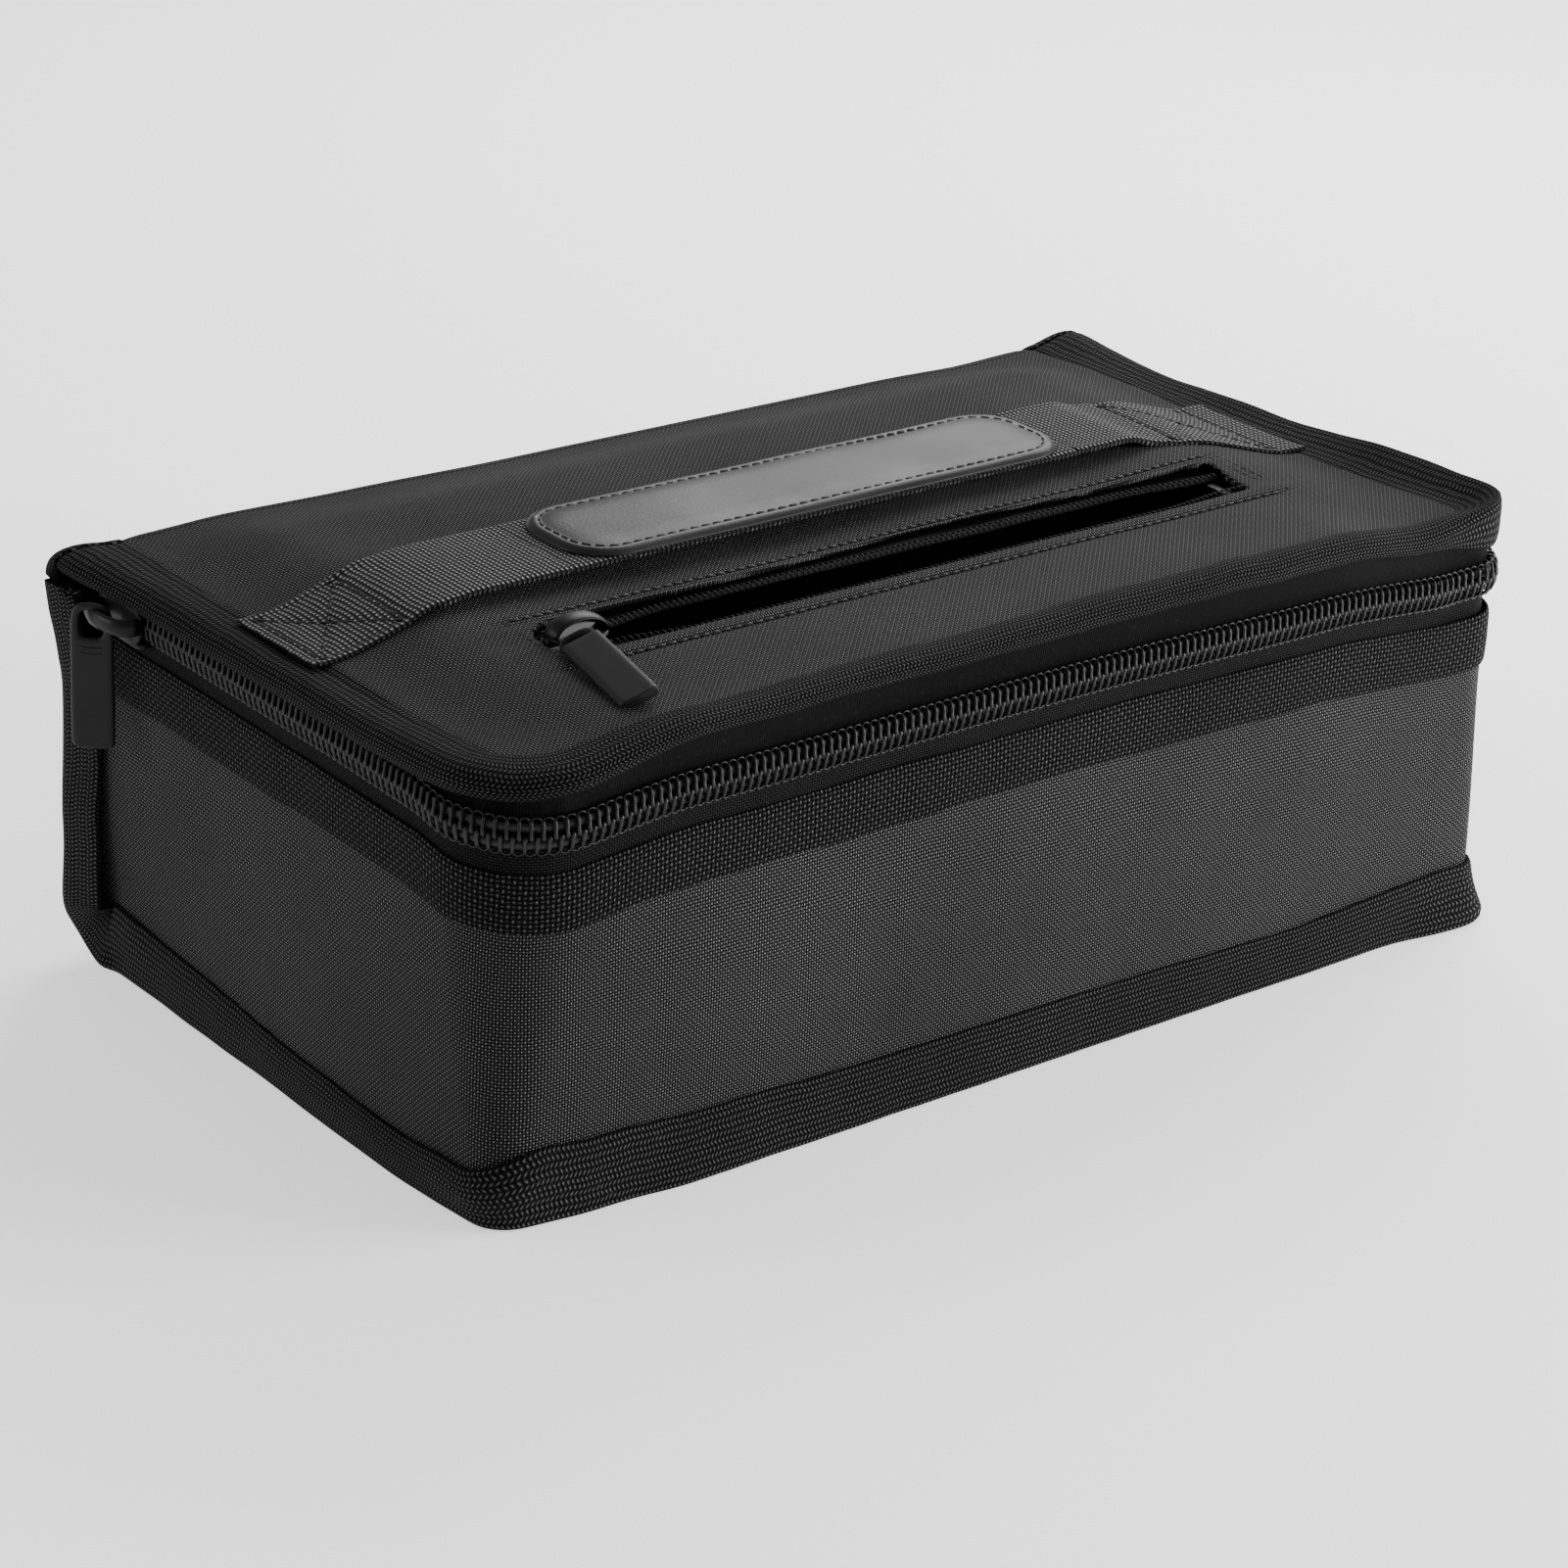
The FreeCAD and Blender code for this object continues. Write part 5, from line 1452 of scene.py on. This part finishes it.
def pull_tab(length, half, window, thick):
    """A zip pull that hangs along -Z from its head at the origin, with its face towards +X."""
    head = window or 3.0
    rows = [0.0, 1.9, head * 0.55, head, head + 1.4, length * 0.5, length - 2.2, length - 0.5, length]
    narrow = [0.85, 1, 1, 1, 1, 1, 1, 1, 0.86]
    if window:
        narrow = [0.62, 0.9, 0.98, 1.0, 1.0, 1.0, 1.03, 0.98, 0.72]
    columns = [-1.0, -0.56, 0.0, 0.56, 1.0]
    bm = bmesh.new()
    bmesh.ops.create_grid(bm, x_segments=4, y_segments=8, size=0.5)
    hole = []
    for face in bm.faces:
        middle = face.calc_center_median()
        row, column = int((0.5 - middle.y) * 8), int((middle.x + 0.5) * 4)
        if window and row in (1, 2) and column in (1, 2):
            hole.append(face)
    bmesh.ops.delete(bm, geom=hole, context="FACES")
    for vert in bm.verts:
        row, column = round((0.5 - vert.co.y) * 8), round((vert.co.x + 0.5) * 4)
        rounded = 0.45 * abs(columns[column]) if row in (0, 8) else 0.0
        down = rows[row] + (rounded if row == 0 else -rounded)
        vert.co = Vector((0, columns[column] * half * narrow[row], -down)) * MM
    bmesh.ops.recalc_face_normals(bm, faces=bm.faces)
    bmesh.ops.solidify(bm, geom=bm.faces[:], thickness=thick * MM)
    middle = sum((vert.co.x for vert in bm.verts), 0.0) / len(bm.verts)
    bmesh.ops.translate(bm, vec=(-middle, 0, 0), verts=bm.verts)
    bmesh.ops.recalc_face_normals(bm, faces=bm.faces)
    return bm


def make_main_slider():
    """Slider of the main zip on the left end wall, and its pull turned towards the front corner."""
    box_low, box_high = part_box("main_slider")
    middle = Vector((0, (box_low.y + box_high.y) / 2, CHAIN))
    middle.z += side_bow(middle.y)
    plate = slab((17 * MM, 9.6 * MM, 1.4 * MM), 4 * MM, 0.45 * MM)
    lip = slab((15 * MM, 4.6 * MM, 1.3 * MM), 1.6 * MM, 0.4 * MM)
    sideways = Matrix.Rotation(math.pi / 2, 4, "Z") @ Matrix.Rotation(math.pi / 2, 4, "X")
    bm = bmesh.new()
    for out in (-1.7, 3.5):
        place = Matrix.Translation(middle + Vector((-HALF_LENGTH - out * MM, 0, 0)))
        add_copies(bm, plate, [place @ sideways])
    for up in (-1, 1):
        place = Matrix.Translation(middle + Vector((-HALF_LENGTH - 1.4 * MM, 0, up * 5.0 * MM)))
        add_copies(bm, lip, [place @ Matrix.Rotation(math.pi / 2, 4, "Z")])
    arch = [(3.6, 7.4), (5.8, 7.3), (7.9, 6.2), (8.9, 3.2), (9.1, 0.0), (8.8, -3.2), (7.6, -6.2), (5.6, -7.6),
            (3.4, -7.8)]
    path = [(Vector((-HALF_LENGTH - out * MM, middle.y + along * MM, middle.z)), 1.0) for out, along in arch]
    add_bridge(bm, path, 1.0 * MM, 10, middle, (1, 1, 2.0))
    piece = make_piece(bm, "main_slider_body", GLOSS_METAL, "main_slider", clean=False)
    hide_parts("main_slider")

    bm = pull_tab(33.4, 4.75, 8.0, 1.9)
    for down in (9.9, 11.3):
        line = [(Vector((0.95, across, -down - 0.25 * (1 - (across / 2.6) ** 2))) * MM, 1.0)
                for across in (-2.6, -1.3, 0, 1.3, 2.6)]
        wire(bm, line, 0.22 * MM, sides=6)
    hang = Vector((-HALF_LENGTH - 9.0 * MM, middle.y + 3.0 * MM, middle.z + 3.1 * MM))
    turned = Matrix.Translation(hang) @ Matrix.Rotation(math.radians(225), 4, "Z")
    bmesh.ops.transform(bm, matrix=turned, verts=bm.verts)
    piece = make_piece(bm, "main_pull", SATIN_METAL, "main_puller", levels=2, clean=False)
    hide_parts("main_puller")


def make_pocket_slider():
    """Slider of the pocket's zip and its flat pull, which lies on the lid."""
    box_low, box_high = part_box("pocket_slider")
    middle = Vector(((box_low.x + box_high.x) / 2 - 4.5 * MM, SLOT_Y, high("pocket_coil_front").z + 0.9 * MM))
    bm = bmesh.new()
    upper = slab((13.5 * MM, 8.6 * MM, 1.3 * MM), 3.6 * MM, 0.45 * MM)
    add_copies(bm, upper, [Matrix.Translation(middle), Matrix.Translation(middle - Vector((0, 0, 3.6 * MM)))])
    arch = [(-6.6, 0.2), (-6.4, 1.7), (-5.0, 3.1), (-2.4, 3.9), (0, 4.0), (2.4, 3.8), (4.8, 2.9), (6.2, 1.5),
            (6.5, 0.2)]
    path = [(middle + Vector((along, 0, up)) * MM, 1.0) for along, up in arch]
    add_bridge(bm, path, 0.75 * MM, 12, middle, (1, 3.4, 1))
    piece = make_piece(bm, "pocket_slider_body", GLOSS_METAL, "pocket_slider", levels=1, clean=False)
    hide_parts("pocket_slider")

    bm = pull_tab(33.5, 4.45, 0, 2.2)
    hang = Vector((-91.4 * MM, SLOT_Y - 4.9 * MM, middle.z + 2.3 * MM))
    lie = Matrix.Rotation(math.radians(-12.5), 4, "Z") @ Matrix.Rotation(math.radians(-88.5), 4, "X")
    face_up = lie @ Matrix.Rotation(math.radians(90 - 21.5), 4, "Z")
    bmesh.ops.transform(bm, matrix=Matrix.Translation(hang) @ face_up, verts=bm.verts)
    piece = make_piece(bm, "pocket_pull", SATIN_METAL, "pocket_puller", levels=2, clean=False)
    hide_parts("pocket_puller")


# ---- inside of the case ----------------------------------------------------------------------

def inside_wall(run, out, up):
    """A place behind the wall's face, where the corner stays round enough to turn."""
    place = wall_frame(run, up, radius=CORNER) @ Vector((out, 0, 0))
    place.z = max(place.z, rear_foot(place.y))
    return place


def make_case_inside():
    """Foam and inner cloth of the end walls and the front."""
    deep = HALF_LENGTH - high("wall_lining").x
    top = high("wall_padding").z
    foot = low("wall_lining").z
    section = [(-1.2 * MM, foot), (-1.2 * MM, top - 1.5 * MM), (-2.2 * MM, top), (-deep + 1.4 * MM, top),
               (-deep + 0.6 * MM, top - 1.5 * MM), (-deep + 0.6 * MM, foot)]
    runs = wall_runs(high("wall_padding").y, 6 * MM)
    bm = sweep(new_bmesh(), section, runs, lambda run, out, up, index: inside_wall(run, out, up), closed=True)
    map_cloth(bm)
    piece = make_piece(bm, "wall_foam", FOAM, "case")
    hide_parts("wall_padding")

    heights = spaced(foot, top - 0.5 * MM, 6 * MM)
    section = [(0.0, up) for up in heights] + [(1.6 * MM, top + 0.3 * MM), (deep - 2 * MM, top + 0.4 * MM)]

    def soft(run, out, up, index):
        spot = inside_wall(run, out - deep, up)
        height = math.sin(math.pi * clamp((up - foot) / (top - foot)))
        full = noise.noise(spot / 0.025) * 0.5 * MM * height
        return inside_wall(run, out - deep - 0.3 * MM * height + full, up)

    bm = sweep(new_bmesh(), section, wall_runs(high("wall_lining").y, 5 * MM), soft)
    map_cloth(bm)
    piece = make_piece(bm, "wall_inner_cloth", LINING, "case", thick=0.6 * MM, levels=1)
    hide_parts("wall_lining")


def make_back_inside():
    """Foam and inner cloth of the base and the back, bent together at the rear foot."""
    foam_low, foam_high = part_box("back_base_padding")
    cloth_low, cloth_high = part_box("back_base_lining")
    bent = BASE_RUN + BEND_RUN

    def deep_in(run, depth):
        y, z, turned = rear_bend(run)
        return y - math.sin(turned) * depth, z + math.cos(turned) * depth

    def runs_to(front, top, pitch):
        runs = spaced(front + HALF_DEPTH, BASE_RUN, pitch) + spaced(BASE_RUN, bent, BEND_RUN / 8)[1:]
        return runs + spaced(bent, bent + top - BEND, pitch)[1:]

    outer = foam_low.z + 0.2 * MM
    inner = cloth_low.z - 0.2 * MM
    across = spaced(-foam_high.x, foam_high.x, 12 * MM)
    section = [(x, outer) for x in across] + [(x, inner) for x in reversed(across)]

    def settle_foam(run, x, depth, index):
        y, z = deep_in(run, depth)
        return Vector((x, y, z))

    bm = sweep(new_bmesh(), section, runs_to(foam_low.y, foam_high.z, 12 * MM), settle_foam, closed=True)
    map_cloth(bm)
    piece = make_piece(bm, "back_and_base_foam", FOAM, "case")
    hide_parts("back_base_padding")

    lie = cloth_low.z + 0.7 * MM

    def settle_cloth(run, x, depth, index):
        y, z = deep_in(run, lie)
        edge = min(cloth_high.x - abs(x), y - cloth_low.y + 2 * MM)
        soft = noise.noise(Vector((x, y, z)) / 0.035) * 0.5 * MM * smooth(edge / (12 * MM))
        y, z = deep_in(run, lie + soft)
        return Vector((x, y, z))

    section = [(x, 0.0) for x in spaced(-cloth_high.x, cloth_high.x, 7 * MM)]
    bm = sweep(new_bmesh(), section, runs_to(cloth_low.y, cloth_high.z, 7 * MM), settle_cloth)
    map_cloth(bm)
    piece = make_piece(bm, "back_and_base_inner_cloth", LINING, "case", thick=0.6 * MM, levels=1)
    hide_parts("back_base_lining")


# ---- setting ---------------------------------------------------------------------------------

def make_setting():
    """Pale floor, soft light and the camera."""
    bm = bmesh.new()
    bmesh.ops.create_grid(bm, x_segments=1, y_segments=1, size=6.0)
    mesh = bpy.data.meshes.new("floor")
    bm.to_mesh(mesh)
    bm.free()
    floor = bpy.data.objects.new("floor", mesh)
    bpy.context.collection.objects.link(floor)
    material, _, shader = start_material("floor_paper")
    shader.inputs["Base Color"].default_value = (0.9, 0.9, 0.9, 1)
    shader.inputs["Roughness"].default_value = 0.9
    shader.inputs["Emission Color"].default_value = (1, 1, 1, 1)
    shader.inputs["Emission Strength"].default_value = 0.8
    mesh.materials.append(material)

    world = bpy.data.worlds.new("studio")
    world.use_nodes = True
    world.node_tree.nodes["Background"].inputs["Color"].default_value = (1, 1, 1, 1)
    world.node_tree.nodes["Background"].inputs["Strength"].default_value = 0.5
    bpy.context.scene.world = world

    def soft_light(name, place, aim, size, power):
        lamp = bpy.data.lights.new(name, "AREA")
        lamp.shape = "RECTANGLE"
        lamp.size, lamp.size_y = size
        lamp.energy = power
        holder = bpy.data.objects.new(name, lamp)
        direction = Vector(aim) - Vector(place)
        turn = direction.to_track_quat("-Z", "Y").to_matrix().to_4x4()
        holder.matrix_world = Matrix.Translation(place) @ turn
        bpy.context.collection.objects.link(holder)

    soft_light("key_light", (0.95, -0.75, 0.3), (0, 0, 0.06), (0.8, 0.5), 33)
    soft_light("top_light", (0.8, 0.5, 0.75), (0, 0, 0.1), (0.9, 0.6), 16)
    soft_light("side_light", (-1.1, 0.6, 0.45), (0, 0, 0.06), (0.8, 0.5), 7)

    camera = bpy.data.cameras.new("camera")
    camera.sensor_width = 36
    camera.lens = 4415 * 36 / 1601
    holder = bpy.data.objects.new("camera", camera)
    azimuth, elevation, roll = (math.radians(angle) for angle in (-39.619, 23.87, 2.979))
    back = Vector((math.sin(azimuth) * math.cos(elevation), -math.cos(azimuth) * math.cos(elevation),
                   math.sin(elevation)))
    right = (-back).cross(Vector((0, 0, 1))).normalized()
    above = right.cross(-back)
    turned_right = right * math.cos(roll) + above * math.sin(roll)
    turned_above = above * math.cos(roll) - right * math.sin(roll)
    view = Matrix((turned_right, turned_above, back)).transposed().to_4x4()
    holder.matrix_world = Matrix.Translation((-0.5736, -0.6872, 0.4322)) @ view
    bpy.context.collection.objects.link(holder)
    bpy.context.scene.camera = holder


# ---- finishes of the CAD nodes that stay -----------------------------------------------------

def dress_nodes():
    """The zip's end stops are the only CAD nodes that still show."""
    for node in ("top_stop_lower", "top_stop_upper", "bottom_stop"):
        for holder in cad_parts[node].material_slots:
            holder.material = SATIN_METAL


make_setting()
make_walls()
make_back_and_base()
make_band()
make_edge_binding()
make_zip_tapes()
make_coils()
make_case_inside()
make_back_inside()
make_lid_cloth()
make_lid_inside()
make_pouch()
make_lid_binding()
make_hinge()
make_strap()
make_grip()
make_pocket_zip()
make_main_slider()
make_pocket_slider()
dress_nodes()
